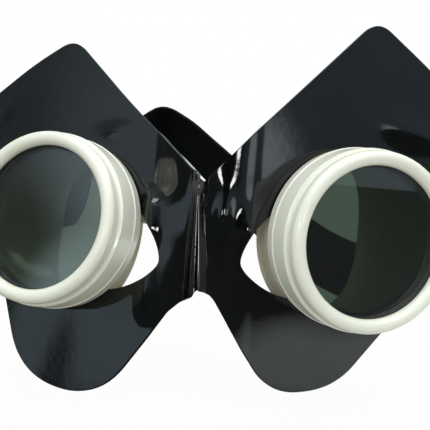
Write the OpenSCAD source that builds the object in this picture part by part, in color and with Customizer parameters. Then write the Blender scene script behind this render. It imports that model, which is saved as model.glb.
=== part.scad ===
// Goggles with two screw-ring eye cups carried in a black vinyl panel cut with two pointed ears.
// Seen from the front: +X to the right, +Y towards the wearer's head, +Z up, millimetres.
// The origin lies midway between the cups, on the plane where their rear rims meet the face.
// "left" and "right" are as seen from the front.

/* [Cup placement] */
// Distance between the centres of the two lens openings
cup_pitch = 106.3; // [100:0.1:114]
// Distance of the lens openings in front of the face plane, mean of both cups
cup_front = 33; // [30:0.5:36]
// How much further forward the right cup sits than the mean, and the left one further back
cup_stagger = 3.2; // [0:0.1:4]
// How much higher the left cup sits than the mean, and the right one lower
cup_offset_z = 0.6; // [0:0.1:3]
// Angle by which the left cup looks outwards, degrees
left_splay = 19; // [15:0.5:25]
// Angle by which the right cup looks outwards, degrees
right_splay = 22.8; // [15:0.5:25]
// Angle by which the left cup looks upwards, degrees
left_lift = 9.9; // [-12:0.1:12]
// Angle by which the right cup looks upwards, degrees
right_lift = -1.1; // [-12:0.1:12]

/* [Lenses] */
// Diameter of the round lenses
lens_d = 50; // [48:0.5:51]
// Thickness of the clear cover lens
cover_t = 1.5; // [1:0.1:2.5]
// Thickness of the spacer between the lenses
spacer_t = 1; // [0.6:0.1:2]
// Thickness of the dark filter lens
filter_t = 3; // [2:0.1:4]
// Thickness of the gasket that the lenses seat on
gasket_t = 1.2; // [0.8:0.1:2]
// Width of the spacer and of the gasket, measured along the radius
gasket_w = 2; // [1.5:0.1:2.6]

/* [Screw rings] */
// How far the ring's lip covers the edge of the lens
lens_cover = 1.5; // [1.3:0.1:2.5]
// Width of the ring's rounded lip
lip_w = 4.6; // [4:0.1:5]
// Wall of the ring's band around the neck's clearance
ring_wall = 1.65; // [1.4:0.05:2.5]
// Depth of the ring behind the centre of its rounded lip
ring_depth = 16.4; // [14.5:0.1:16.5]
// Width of the groove behind the rounded lip
groove_w = 1.8; // [1:0.1:2.4]
// Depth of that groove
groove_h = 0.8; // [0.3:0.1:0.9]
// Height of the thin raised line round the band
line_h = 0.35; // [0.1:0.05:0.6]
// Width of the plain edge band behind the raised line
edge_w = 4.4; // [3:0.1:5]
// Advance of the ring's thread for each turn
thread_pitch = 3; // [2:0.5:3]
// Radial clearance of the ring on the cup's neck
ring_gap = 0.35; // [0.3:0.05:0.5]

/* [Eye cups] */
// Wall of the cup's neck
neck_wall = 1.5; // [1.3:0.1:1.7]
// Wall of the cup's bowl
bowl_wall = 1.8; // [1.5:0.1:2.3]
// Depth of the bowl's rim on the cup's axis
bowl_depth = 36; // [33:0.5:40]
// How far inside the neck's wall the rear rim lies towards the temple
rim_temple_in = 6.3; // [3.3:0.1:7.3]
// How far inside the neck's wall the left cup's rear rim lies towards the nose
left_rim_nose_in = 4; // [0.8:0.1:4.8]
// How far outside the neck's wall the right cup's rear rim lies towards the nose
right_rim_nose_out = 0.7; // [-1.3:0.1:1.7]
// How far outside the neck's wall the rear rim lies towards the brow and the cheek
rim_tall_out = 1.2; // [-0.3:0.1:2.7]
// Slant of the rear rim to the lens, so that both rims meet the face, degrees
rim_slant = 21; // [15:0.5:24]
// How far the rim is cut back for the brow and the cheek
rim_saddle = 3; // [0:0.5:5]
// Outward roll of the rim's edge
rim_roll = 1; // [0:0.1:1.5]

/* [Ear panel] */
// Thickness of the vinyl sheet
panel_t = 1.2; // [0.8:0.1:1.5]
// Radial clearance of the eye holes on the cups' necks
hole_gap = 0.5; // [0.4:0.05:1]
// Reach of the eye hole's inner corner beyond the round part
hole_corner = 10.5; // [4:0.5:12]
// Angle of that corner below the line to the nose, degrees
hole_corner_drop = 15; // [5:0.5:20]
// Height of the notch between the ears
notch_z = 14.8; // [8:0.1:18]
// Height of the cut-out's top over the nose
apex_z = -18.5; // [-24:0.1:-14]
// How far the panel stands forward of the face plane over the nose
nose_front = 35; // [33:0.5:40]
// Height of the fold down the nose at its lower end
fold_h = 3; // [1:0.1:6]
// Width of that fold at its lower end
fold_w = 8; // [5:0.5:12]
// Distance of each ear's tip from the middle
ear_x = 52; // [44:0.5:58]
// Height of the left ear's tip before it is rounded
left_ear_z = 63.6; // [55:0.1:75]
// Height of the right ear's tip before it is rounded
right_ear_z = 70.5; // [55:0.1:75]
// Rounding of the ears' tips
ear_round = 6; // [2:0.5:10]
// Distance of the panel's temple corners from the middle
temple_x = 92; // [86:0.5:96]
// Height of the left temple corner
left_temple_z = 35; // [28:0.5:44]
// Height of the right temple corner
right_temple_z = 40; // [28:0.5:44]
// Depth of the left cheek lobe below the middle
left_lobe_z = 54.3; // [48:0.1:60]
// Depth of the right cheek lobe below the middle
right_lobe_z = 50.4; // [48:0.1:60]

/* [Nose bridge] */
// Width of the bridge strip
bridge_w = 9; // [7:0.5:10]
// Thickness of the bridge strip
bridge_t = 1.8; // [1.2:0.1:2.5]
// Height of the bridge above the cups' axes
bridge_z = 8; // [6:0.5:10]
// Radius of the rivets' shanks
rivet_r = 1.6; // [1.2:0.1:2]
// Radius of the rivets' heads
rivet_head_r = 2.7; // [2.5:0.1:3]
// Thickness of the rivets' heads
rivet_head_t = 0.9; // [0.6:0.1:1.2]

/* [Head strap] */
// Width of the elastic strap
strap_w = 23; // [20:0.5:25]
// Thickness of the elastic strap
strap_t = 1.6; // [1.2:0.1:1.8]
// Radius of the bar that the strap goes round
bar_r = 1.7; // [1.5:0.1:1.8]
// Distance of that bar from the cup's axis
bar_x = 37.5; // [35:0.5:40]
// Distance of that bar behind the lens opening
bar_s = 27; // [25:0.5:30]
// Thickness of the lugs that carry the bar
lug_t = 3; // [2.5:0.1:3.6]
// Length of the left end that is sewn back on the strap
left_tail = 26; // [20:1:28]
// Length of the right end that is turned back through the slide
right_tail = 68; // [60:1:72]
// Distance of the slide behind the right bar
slide_s = 23.5; // [23:0.5:24]
// Length of the slide along the strap
slide_l = 12; // [11:0.5:12]
// Thickness of the slide's bars
slide_bar = 1.8; // [1.4:0.1:2.4]
// Travel of the slide each way
slide_travel = 6; // [4:0.5:6]

/* [Hidden] */

$fn = 96;
LEFT = -1;
RIGHT = 1;

// Colours, as the object shows them
c_vinyl = [0.10, 0.11, 0.12];
c_ring = [0.93, 0.92, 0.88];
c_cup = [0.92, 0.89, 0.78];
c_filter = [0.05, 0.13, 0.09, 0.8];
c_cover = [0.80, 0.86, 0.84, 0.4];
c_rubber = [0.12, 0.12, 0.13];
c_strap = [0.04, 0.04, 0.045];
c_metal = [0.45, 0.46, 0.48];

// Running gaps
lens_gap = 0.3;
stack_gap = 0.15;
seat_gap = 0.1;
layer_gap = 0.4;
strap_gap = 0.3;
slot_gap = 1;
wrap_gap = 0.5;

// Radii and depths of one cup, measured back from the middle of the ring's rounded lip
lip_r = lip_w / 2;
lip_mid = lens_d / 2 - lens_cover + lip_r;
lip_seat = 1;
pocket_r = lens_d / 2 + lens_gap;
neck_r = pocket_r + neck_wall;
ring_bore = neck_r + ring_gap;
neck_front = lip_seat + 0.6;
stack_front = lip_seat + stack_gap;
cover_back = stack_front + cover_t;
spacer_back = cover_back + spacer_t;
filter_back = spacer_back + filter_t;
gasket_front = filter_back + seat_gap;
ledge_front = gasket_front + gasket_t;
ledge_r = pocket_r - gasket_w - 0.3;
ledge_back = ledge_front + 2.2;
panel_s = ring_depth + 0.6;
neck_back = panel_s + panel_t + 0.7;
bowl_front = neck_back - 1.4;
throat_r = neck_r - 2;
rim_bead = rim_roll;
rim_temple_r = neck_r - rim_temple_in;
rim_tall_r = neck_r + rim_tall_out;

// Where each cup sits
function splay(side) = side < 0 ? left_splay : right_splay;
function lift(side) = side < 0 ? left_lift : right_lift;
function cup_at(side) = [side * cup_pitch / 2, -cup_front - side * cup_stagger, -side * cup_offset_z];

// From a cup's own frame to the object's: x to the temple, y up, z out of the lens
function turn_x(p, a) = [p.x, p.y * cos(a) - p.z * sin(a), p.y * sin(a) + p.z * cos(a)];
function turn_z(p, a) = [p.x * cos(a) - p.y * sin(a), p.x * sin(a) + p.y * cos(a), p.z];
function cup_dir(side, p) = turn_z(turn_x([side * p.x, p.y, p.z], 90 - lift(side)), side * splay(side));
function cup_pt(side, p) = cup_at(side) + cup_dir(side, p);

module at_cup(side) {
    translate(cup_at(side))
        rotate([90 - lift(side), 0, side * splay(side)])
            scale_side(side)
                children();
}

module scale_side(side) {
    if (side < 0) mirror([1, 0, 0]) children();
    else children();
}

function mix(a, b, t) = a + (b - a) * t;
function clamp01(t) = min(1, max(0, t));
function ease(t) = let (u = clamp01(t)) u * u * (3 - 2 * u);
function unit(v) = v / norm(v);

// The bowl: rings of points from the neck to a slanted, saddle-shaped rim
bowl_n = 40;
bowl_k = 10;

// Radius of the rim at an angle from the temple
function rim_nose(side) = neck_r + (side < 0 ? -left_rim_nose_in : right_rim_nose_out);
function rim_r(side, a) =
    let (mean = (rim_temple_r + rim_nose(side)) / 2)
    (mean + rim_tall_r) / 2 + (rim_temple_r - rim_nose(side)) / 2 * cos(a)
    + (mean - rim_tall_r) / 2 * cos(2 * a);

// Depth of the rim at an angle from the temple
function rim_s(side, a) =
    bowl_depth + rim_r(side, a) * cos(a) * tan(rim_slant) - rim_saddle * sin(a) * sin(a);

// One point of the bowl's skin: v runs from the neck to the rim
function bowl_pt(side, a, v, r0, off, s0, s1) =
    let (r = mix(r0, rim_r(side, a) + off, ease(v)) + (off == 0 ? rim_bead * ease((v - 0.86) / 0.1) : 0))
    [r * cos(a), r * sin(a), -mix(s0, rim_s(side, a) + s1, v)];

module skin(rows) {
    k = len(rows);
    n = len(rows[0]);
    pts = [for (r = rows) each r];
    sides = [for (j = [0 : k - 2], i = [0 : n - 1])
        let (a = j * n + i, b = j * n + (i + 1) % n, c = a + n, d = b + n)
        each [[a, b, d], [a, d, c]]];
    front = [[for (i = [n - 1 : -1 : 0]) i]];
    back = [[for (i = [0 : n - 1]) (k - 1) * n + i]];
    polyhedron(pts, concat(sides, front, back), convexity = 8);
}

module bowl_outside(side) {
    skin([for (j = [0 : bowl_k])
        let (v = j < 8 ? j / 8 * 0.86 : [0.91, 0.96, 1][j - 8])
        [for (i = [0 : bowl_n - 1]) bowl_pt(side, i * 360 / bowl_n, v, neck_r - 0.3, 0, bowl_front, 0)]]);
}

// The hollow runs on past the rim, so that it opens it cleanly
module bowl_inside(side) {
    skin([for (j = [0 : 10])
        [for (i = [0 : bowl_n - 1])
            let (a = i * 360 / bowl_n,
                 p = bowl_pt(side, a, min(1, j / 9), throat_r - 0.3, -bowl_wall, bowl_front, 0))
            j < 10 ? p : p - [0, 0, 4]]]);
}

module bar_lug() {
    arm = strap_w / 2 + slot_gap + 1.7;
    difference() {
        translate([neck_r - 4, -arm, -bar_s - lug_t / 2])
            cube([bar_x - neck_r + 4, 2 * arm, lug_t]);
        translate([bar_x - wrap_r - strap_t / 2 - strap_gap - 1.2, -strap_w / 2 - slot_gap, -bar_s - 5])
            cube([bar_x, strap_w + 2 * slot_gap, 10]);
    }
    translate([bar_x, -arm, -bar_s])
        rotate([-90, 0, 0])
            cylinder(r = bar_r, h = 2 * arm, $fn = 48);
}

module bridge_lug() {
    translate([-bridge_reach, bridge_z - bridge_w / 2 - 0.5, -bridge_s])
        cube([bridge_reach - neck_r / 2, bridge_w + 1, bridge_lug_t]);
}

// The strip starts clear of the wider rim, and the rivets sit in the middle of its straight ends
bridge_lug_t = 2.2;
bridge_s = panel_s + panel_t + 5.4;
bridge_x = max(rim_nose(LEFT), rim_nose(RIGHT), neck_r) + rim_roll + 0.5;
bridge_reach = bridge_x + 2 * rivet_head_r + 1.2;
rivet_x = bridge_x + rivet_head_r + 0.6;

module cup(side) {
    color(c_cup)
    at_cup(side)
    difference() {
        union() {
            translate([0, 0, -neck_back])
                cylinder(r = neck_r, h = neck_back - neck_front);
            bowl_outside(side);
            bar_lug();
            bridge_lug();
        }
        translate([0, 0, -ledge_front])
            cylinder(r = pocket_r, h = ledge_front);
        translate([0, 0, -ledge_back])
            cylinder(r = ledge_r, h = ledge_back);
        translate([0, 0, -neck_back - 0.2])
            cylinder(r = throat_r, h = neck_back + 0.2 - ledge_back + 0.001);
        bowl_inside(side);
        translate([-rivet_x, bridge_z, -bridge_s - 1])
            cylinder(r = rivet_r + 0.1, h = bridge_lug_t + 2, $fn = 32);
    }
}

// The screw ring: a rounded lip, a groove, a flat band, a raised line and an edge band
module ring(side) {
    r = ring_bore + ring_wall;
    g0 = lip_r * 0.6 + 0.3;
    line_s = ring_depth - edge_w;
    seat_a = asin(lip_seat / lip_r);
    lip = [for (a = [180 + seat_a : -(217 + seat_a) / 18 : -37.1])
        [lip_mid + lip_r * cos(a), lip_r * sin(a)]];
    color(c_ring)
    at_cup(side)
    rotate_extrude(convexity = 6)
    polygon(concat(lip,
        [[r - groove_h, -g0], [r - groove_h, -g0 - groove_w],
         [r, -g0 - groove_w - 0.5], [r, -line_s + 0.8], [r + line_h, -line_s + 0.5],
         [r + line_h, -line_s], [r, -line_s - 0.3], [r - 0.1, -ring_depth + 0.4],
         [r - 0.5, -ring_depth], [ring_bore, -ring_depth], [ring_bore, -lip_seat]]));
}

// The round stack that the ring clamps
module disc(side, s0, s1, r) {
    at_cup(side)
        translate([0, 0, -s1])
            cylinder(r = r, h = s1 - s0);
}

module flat_ring(side, s0, s1, r, w) {
    at_cup(side)
    difference() {
        translate([0, 0, -s1])
            cylinder(r = r, h = s1 - s0);
        translate([0, 0, -s1 - 1])
            cylinder(r = r - w, h = s1 - s0 + 2);
    }
}

module cover_lens(side) {
    color(c_cover)
        disc(side, stack_front, cover_back, lens_d / 2);
}

module spacer(side) {
    color(c_rubber)
        flat_ring(side, cover_back, spacer_back, lens_d / 2, gasket_w);
}

module filter_lens(side) {
    color(c_filter)
        disc(side, spacer_back, filter_back, lens_d / 2);
}

module gasket(side) {
    color(c_rubber)
        flat_ring(side, gasket_front, ledge_front, lens_d / 2, gasket_w);
}

// The ear panel: one sheet over both cups, joined down the middle of the nose
// Corners of one half's outline, from the notch round the ear and the lobe to the nose cut-out:
// distance from the middle, height, and how far from the corner its rounding starts
function corners(side) = side < 0
    ? [[0, notch_z, 0], [28.9, 40.6, 8], [ear_x, left_ear_z, ear_round], [67.8, left_ear_z - 9.5, 8],
       [temple_x, left_temple_z, 9], [73, -18, 14], [60.5, -left_lobe_z, 16],
       [31, -left_lobe_z - 3.5, 14.6], [9.7, -27.1, 1], [0, apex_z, 0]]
    : [[0, notch_z, 0], [29.7, 46.5, 8], [ear_x, right_ear_z, ear_round], [72.7, right_ear_z - 14.5, 8],
       [temple_x, right_temple_z, 9], [73, -18, 14], [46, -right_lobe_z, 9.5],
       [24.4, -right_lobe_z - 1.9, 14], [4.1, -19.9, 3], [0, apex_z, 0]];

function rounded(c) = [for (i = [0 : len(c) - 1])
    let (p = [c[i][0], c[i][1]])
    each (i == 0 || i == len(c) - 1) ? [p] :
        let (a = [c[i - 1][0], c[i - 1][1]], b = [c[i + 1][0], c[i + 1][1]],
             la = norm(a - p), lb = norm(b - p),
             d = min(c[i][2], la * (i == 1 ? 0.9 : 0.49), lb * (i == len(c) - 2 ? 0.9 : 0.49)),
             u = p + (a - p) * d / la, w = p + (b - p) * d / lb)
        [for (t = [0 : 1 / (c[i][2] > 12 ? 7 : 4) : 1.001]) (1 - t) * (1 - t) * u + 2 * t * (1 - t) * p + t * t * w]];

function stepped(l, step) = [for (i = [0 : len(l) - 2])
    let (n = max(1, ceil(norm(l[i + 1] - l[i]) / step)))
    for (k = [0 : n - 1]) mix(l[i], l[i + 1], k / n)];

seam_n = 10;
panel_step = 7;
panel_m = [0, 0.25, 0.48, 0.67, 0.83, 0.94, 1];

function edge(side) = concat(stepped(rounded(corners(side)), panel_step),
                             [for (k = [0 : seam_n - 1]) [0, mix(apex_z, notch_z, k / seam_n)]]);

// Depth of the panel's front: the plane behind the ring, blended into the fold over the nose
blend_x = 18;
function panel_y(side, x, z) =
    let (n = cup_dir(side, [0, 0, 1]), o = cup_pt(side, [0, 0, -panel_s]),
         plane = o.y - ((x - o.x) * n.x + (z - o.z) * n.z) / n.y,
         w = ease(1 - abs(x) / blend_x),
         q = ease((notch_z - z) / (notch_z - apex_z)),
         fold = fold_h * q * exp(-pow(x / (fold_w / 2 * (0.4 + 0.6 * q)), 2)))
    mix(plane, -nose_front, w) - fold;

// Radius of the eye hole at an angle from the temple, in the cup's own frame
function hole_r(a) =
    let (e = (a < 0 ? 180 + a : a - 180) - hole_corner_drop,
         wide = e > 0 ? 31 : 26,
         f = sqrt(e * e + 9) - 3)
    neck_r + hole_gap + hole_corner * max(0, 1 - f / wide);

// Position on the front skin: j runs from the eye hole to the outline
function panel_xz(side, p, t) =
    let (o = cup_pt(side, [0, 0, -panel_s]), n = cup_dir(side, [0, 0, 1]),
         x = side * p.x, y = o.y - ((x - o.x) * n.x + (p.y - o.z) * n.z) / n.y,
         d = [x, y, p.y] - o,
         u = d * cup_dir(side, [1, 0, 0]), v = d * cup_dir(side, [0, 1, 0]),
         a = atan2(v, u), r = hole_r(a),
         h = o + r * (cos(a) * cup_dir(side, [1, 0, 0]) + sin(a) * cup_dir(side, [0, 1, 0])))
    [mix(h.x, x, t), mix(h.z, p.y, t)];

module ear_panel() {
    m = len(panel_m) - 1;
    loops = [edge(LEFT), edge(RIGHT)];
    counts = [len(loops[0]), len(loops[1])];
    base = [0, 2 * (m + 1) * counts[0]];
    pts = [for (h = [0, 1], k = [0, 1], j = [0 : m], i = [0 : counts[h] - 1])
        let (side = h == 0 ? LEFT : RIGHT, q = panel_xz(side, loops[h][i], panel_m[j]))
        [q.x, panel_y(side, q.x, q.y) + k * panel_t, q.y]];
    function seam(h, i) = i == 0 ? 0 : i >= counts[h] - seam_n ? i - counts[h] + seam_n + 1 : -1;
    function seam_id(k, e) = (k * (m + 1) + m) * counts[0] + (e == 0 ? 0 : counts[0] - seam_n + e - 1);
    function id(h, k, j, i) = (h == 1 && j == m && seam(h, i) >= 0)
        ? seam_id(k, seam(h, i)) : base[h] + (k * (m + 1) + j) * counts[h] + i;
    function quad(a, b, c, d, flip) = flip ? [[a, c, b], [a, d, c]] : [[a, b, c], [a, c, d]];
    skins = [for (h = [0, 1], k = [0, 1], j = [0 : m - 1], i = [0 : counts[h] - 1])
        let (i2 = (i + 1) % counts[h])
        each quad(id(h, k, j, i), id(h, k, j, i2), id(h, k, j + 1, i2), id(h, k, j + 1, i), (h + k) % 2 == 1)];
    holes = [for (h = [0, 1], i = [0 : counts[h] - 1])
        let (i2 = (i + 1) % counts[h])
        each quad(id(h, 0, 0, i), id(h, 1, 0, i), id(h, 1, 0, i2), id(h, 0, 0, i2), h == 1)];
    rims = [for (h = [0, 1], i = [0 : counts[h] - 1 - seam_n])
        let (i2 = i + 1)
        each quad(id(h, 0, m, i), id(h, 0, m, i2), id(h, 1, m, i2), id(h, 1, m, i), h == 1)];
    color(c_vinyl)
        polyhedron(pts, concat(skins, holes, rims), convexity = 10);
}

// Flat bands swept along a path: the strap and the bridge
// Each step of a path is [point, width direction hint]
function band_rows(path, w, t) =
    let (n = len(path) - 1)
    [for (i = [0 : n])
        let (p = path[i][0], a = path[max(0, i - 1)][0], b = path[min(n, i + 1)][0],
             d = unit(b - a), h = path[i][1], u = unit(h - (h * d) * d), q = cross(d, u), c = t * 0.25)
        [for (e = [[-1, 1, 1, 0], [-1, 1, 0, 1], [1, 1, 0, 1], [1, 1, 1, 0],
                   [1, -1, 1, 0], [1, -1, 0, 1], [-1, -1, 0, 1], [-1, -1, 1, 0]])
            p + u * e[0] * (w / 2 - (e[3] == 1 ? c : 0)) + q * e[1] * (t / 2 - (e[2] == 1 ? c : 0))]];

module band(path, w, t) {
    skin(band_rows(path, w, t));
}

function catmull(a, b, c, d, t) =
    0.5 * (2 * b + (c - a) * t + (2 * a - 5 * b + 4 * c - d) * t * t + (3 * b - a - 3 * c + d) * t * t * t);

function spline(l, n) = [for (i = [1 : len(l) - 3], k = [0 : n - 1])
    [catmull(l[i - 1][0], l[i][0], l[i + 1][0], l[i + 2][0], k / n),
     catmull(l[i - 1][1], l[i][1], l[i + 1][1], l[i + 2][1], k / n)]];

// Where each doubled end of the strap stops running straight from its bar
run_end_l = [-78, 36, -17];
run_end_r = [56.9, 33.9, -19];
// The free loop behind the head, each point with the direction of the strap's upper edge
loop_pts = [[[43.7, 54.5, -13], [0.5, -0.05, 0.85]], [[28.4, 69, -3], [0.4, -0.25, 0.88]],
            [[11, 83.7, 11.5], [0.25, -0.45, 0.85]], [[-6, 94.3, 25.8], [0.2, -0.55, 0.82]],
            [[-21.7, 103, 38.6], [0.2, -0.68, 0.75]], [[-36, 106.5, 43], [0.2, -0.8, 0.6]],
            [[-54, 99, 34], [0.4, -0.8, 0.3]], [[-66, 91, 24], [0.7, -0.65, 0.1]],
            [[-71.3, 82, 14], [0.85, -0.45, 0.1]], [[-73.6, 70, 0.6], [0.97, -0.1, -0.1]],
            [[-76.3, 58, -12.8], [0.45, 0.3, 0.8]], [[-77, 47, -19], [0.25, 0.1, 0.95]]];

wrap_r = bar_r + wrap_gap + strap_t / 2;
layer = (strap_t + layer_gap) / 2;
converge = 10;

function bar_at(side) = cup_pt(side, [bar_x, 0, -bar_s]);
function run_end(side) = side < 0 ? run_end_l : run_end_r;
function run_up(side) = cup_dir(side, [0, 1, 0]);
// The ends leave their bars square to them and bend into their straight runs
function run_start(side) =
    bar_at(side) - run_up(side) * (run_up(side) * unit(run_end(side) - bar_at(side))) * converge / 2;
function run_dir(side) = unit(run_end(side) - run_start(side));
// Across the width of a doubled end
function run_wide(side) = let (d = run_dir(side), u = run_up(side)) unit(u - (u * d) * d);
// Across its layers, away from the head
function run_out(side) =
    let (c = cross(run_wide(side), run_dir(side)))
    c * sign(c * cup_dir(side, [1, 0, 0]));
function run_pt(side, s, o) = run_start(side) + run_dir(side) * s + run_out(side) * o;
function run_len(side) = norm(run_end(side) - run_start(side));

// From the bar to the doubled layers, or back: e is 1 on the outer side and -1 on the inner one
function wrap_in(side, e) =
    let (u = run_up(side), w = run_wide(side), b = bar_at(side),
         rise = (run_pt(side, converge, 0) - b) * u)
    [for (k = [1, 0.75, 0.5, 0.25])
        let (p = run_pt(side, converge * k, e * mix(wrap_r, layer, ease((k - 0.3) / 0.7))))
        [p + u * (k * k * rise - (p - b) * u), mix(u, w, k)]];

function wrap(side) = [for (a = [0 : 22.5 : 180])
    [cup_pt(side, [bar_x + wrap_r * cos(a), 0, -bar_s + wrap_r * sin(a)]), run_up(side)]];

function reversed(l) = [for (i = [len(l) - 1 : -1 : 0]) l[i]];

// The line midway between the layers, from one bar round the head to the other
function run_line(side) = [for (s = [converge : 5 : run_len(side) - 2]) [run_pt(side, s, 0), run_wide(side)]];

function mid_line() =
    let (r = run_line(RIGHT), l = reversed(run_line(LEFT)), n = len(r))
    concat([for (i = [0 : n - 2]) r[i]],
           spline(concat([r[n - 2], r[n - 1]], loop_pts, [l[0], l[1]]), 4), l);

// A line moved sideways by half the doubling, inwards along the whole loop
function layered(l, o) = [for (i = [0 : len(l) - 1])
    let (d = unit(l[min(len(l) - 1, i + 1)][0] - l[max(0, i - 1)][0]),
         q = unit(cross(l[i][1], d)))
    [l[i][0] + q * o, l[i][1]]];

function total(v, i) = i < 0 ? 0 : v[i] + total(v, i - 1);

// The part of a line within a length from its start
function first_part(l, reach) =
    let (steps = [for (i = [0 : 29]) norm(l[i + 1][0] - l[i][0])],
         runs = [for (i = [0 : 30]) total(steps, i - 1)],
         m = max([for (i = [0 : 29]) if (runs[i] < reach - 1) i]),
         t = (reach - runs[m]) / steps[m])
    concat([for (i = [0 : m]) l[i]], [mix(l[m], l[m + 1], t)]);

function strap_path() =
    let (m = mid_line(), inner = layered(m, layer), outer = layered(m, -layer),
         tail_r = reversed(first_part(outer, right_tail - converge)),
         tail_l = first_part(reversed(outer), left_tail - converge),
         n = len(inner))
    concat([for (i = [0 : len(tail_r) - 2]) tail_r[i]], wrap_in(RIGHT, 1), wrap(RIGHT),
           reversed(wrap_in(RIGHT, -1)), [for (i = [1 : n - 2]) inner[i]],
           wrap_in(LEFT, -1), reversed(wrap(LEFT)), reversed(wrap_in(LEFT, 1)),
           [for (i = [1 : len(tail_l) - 1]) tail_l[i]]);

module head_strap() {
    color(c_strap)
        band(strap_path(), strap_w, strap_t);
}

// A moulded slide that the doubled end passes through: a closed back and three bars in front
module strap_slide() {
    d = run_dir(RIGHT);
    o = run_out(RIGHT);
    u = cross(o, d);
    p = run_pt(RIGHT, slide_s, 0);
    win_w = strap_w + 2 * strap_gap;
    win_t = 2 * (layer + strap_t / 2 + strap_gap);
    c_x = slide_l / 2;
    color(c_rubber)
    multmatrix([[d.x, u.x, o.x, p.x], [d.y, u.y, o.y, p.y], [d.z, u.z, o.z, p.z], [0, 0, 0, 1]])
    difference() {
        union() {
            translate([-c_x + slide_bar, -win_w / 2 - slide_bar, -win_t / 2 - slide_bar])
                cube([slide_l - 2 * slide_bar, win_w + 2 * slide_bar, win_t + 2 * slide_bar]);
            for (e = [-1, 1])
                translate([e * (c_x - slide_bar), -win_w / 2 - slide_bar, 0])
                    rotate([-90, 0, 0])
                        scale_bar(win_w + 2 * slide_bar, win_t / 2 + slide_bar);
        }
        translate([-slide_l, -win_w / 2, -win_t / 2])
            cube([2 * slide_l, win_w, win_t]);
        for (e = [-1, 1])
            translate([e * slide_l / 4 - slide_l / 9, -win_w / 2 + 1, 0])
                cube([slide_l * 2 / 9, win_w - 2, win_t]);
    }
}

module scale_bar(h, half) {
    translate([-slide_bar, -half, 0])
        cube([2 * slide_bar, 2 * half, h]);
}

// The strip behind the fold that ties the cups together over the nose
function bridge_path() =
    let (s = bridge_s + 0.1 + bridge_t / 2,
         l = [for (x = [bridge_x, rivet_x, bridge_reach])
              [cup_pt(LEFT, [-x, bridge_z, -s]), cup_dir(LEFT, [0, 1, 0])]],
         r = [for (x = [bridge_reach, rivet_x, bridge_x])
              [cup_pt(RIGHT, [-x, bridge_z, -s]), cup_dir(RIGHT, [0, 1, 0])]],
         a = l[2][0], b = a + 9 * cup_dir(LEFT, [-1, 0, 0]), d = r[0][0], c = d + 9 * cup_dir(RIGHT, [-1, 0, 0]))
    concat(l,
           [for (t = [0.125 : 0.125 : 0.875])
               [pow(1 - t, 3) * a + 3 * t * pow(1 - t, 2) * b + 3 * t * t * (1 - t) * c + pow(t, 3) * d,
                mix(l[2][1], r[0][1], t)]],
           r);

module nose_bridge() {
    color(c_rubber)
    difference() {
        band(bridge_path(), bridge_w, bridge_t);
        for (side = [LEFT, RIGHT])
            at_cup(side)
                translate([-rivet_x, bridge_z, -bridge_s - 6])
                    cylinder(r = rivet_r + 0.1, h = 8, $fn = 32);
    }
}

module bridge_rivets() {
    grip = bridge_lug_t + bridge_t + 0.3;
    color(c_metal)
    for (side = [LEFT, RIGHT])
        at_cup(side)
            translate([-rivet_x, bridge_z, -bridge_s + bridge_lug_t + 0.1]) {
                translate([0, 0, -grip - rivet_head_t + 0.1])
                    cylinder(r = rivet_r, h = grip + 2 * rivet_head_t - 0.2, $fn = 32);
                cylinder(r = rivet_head_r, h = rivet_head_t, $fn = 32);
                translate([0, 0, -grip - rivet_head_t])
                    cylinder(r = rivet_head_r, h = rivet_head_t, $fn = 32);
            }
}

// The small tab that closes the fold at the notch, and its stud
tab_x = -1.8;
tab_z = 11.6;
tab_t = 0.7;
stud_r = 0.7;

function tab_y() = -nose_front - fold_h * 0.12 - 0.15;

module nose_tab() {
    color(c_metal)
    translate([tab_x, tab_y(), tab_z])
        rotate([90, 0, 0])
            difference() {
                linear_extrude(tab_t)
                    polygon([[-1.5, 3.4], [1.5, 3.4], [1.9, 2.9], [0.6, -2.7], [0.3, -3.1],
                             [-0.3, -3.1], [-0.6, -2.7], [-1.9, 2.9]]);
                translate([0, 0, -1])
                    cylinder(r = stud_r + 0.1, h = 3, $fn = 24);
            }
}

module nose_stud() {
    color(c_rubber)
    translate([tab_x, tab_y(), tab_z])
        rotate([90, 0, 0]) {
            cylinder(r = stud_r, h = tab_t + 0.3, $fn = 24);
            translate([0, 0, tab_t + 0.1])
                cylinder(r = stud_r + 0.5, h = 0.5, $fn = 24);
        }
}

module left_cup() { cup(LEFT); }
module right_cup() { cup(RIGHT); }
module left_ring() { ring(LEFT); }
module right_ring() { ring(RIGHT); }
module left_cover_lens() { cover_lens(LEFT); }
module right_cover_lens() { cover_lens(RIGHT); }
module left_spacer() { spacer(LEFT); }
module right_spacer() { spacer(RIGHT); }
module left_filter_lens() { filter_lens(LEFT); }
module right_filter_lens() { filter_lens(RIGHT); }
module left_gasket() { gasket(LEFT); }
module right_gasket() { gasket(RIGHT); }

ear_panel();
left_cup();
right_cup();
left_ring();
right_ring();
left_cover_lens();
right_cover_lens();
left_spacer();
right_spacer();
left_filter_lens();
right_filter_lens();
left_gasket();
right_gasket();
nose_bridge();
bridge_rivets();
nose_tab();
nose_stud();
head_strap();
strap_slide();
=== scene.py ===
"""Round goggles in a glossy black vinyl panel with two pointed ears, dressed for a studio picture.

Lengths in the classes are millimetres in the part's own frame: +X to the right as seen from the
front, +Y towards the wearer's head, +Z up. Every mesh is written in metres. The lamps, the camera
and the finishes are in metres.
"""

import logging
import math
from dataclasses import dataclass, field
from enum import IntEnum
from typing import Any, Optional, Sequence

import bmesh
import bpy
import numpy as np
from mathutils import Matrix, Vector

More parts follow.
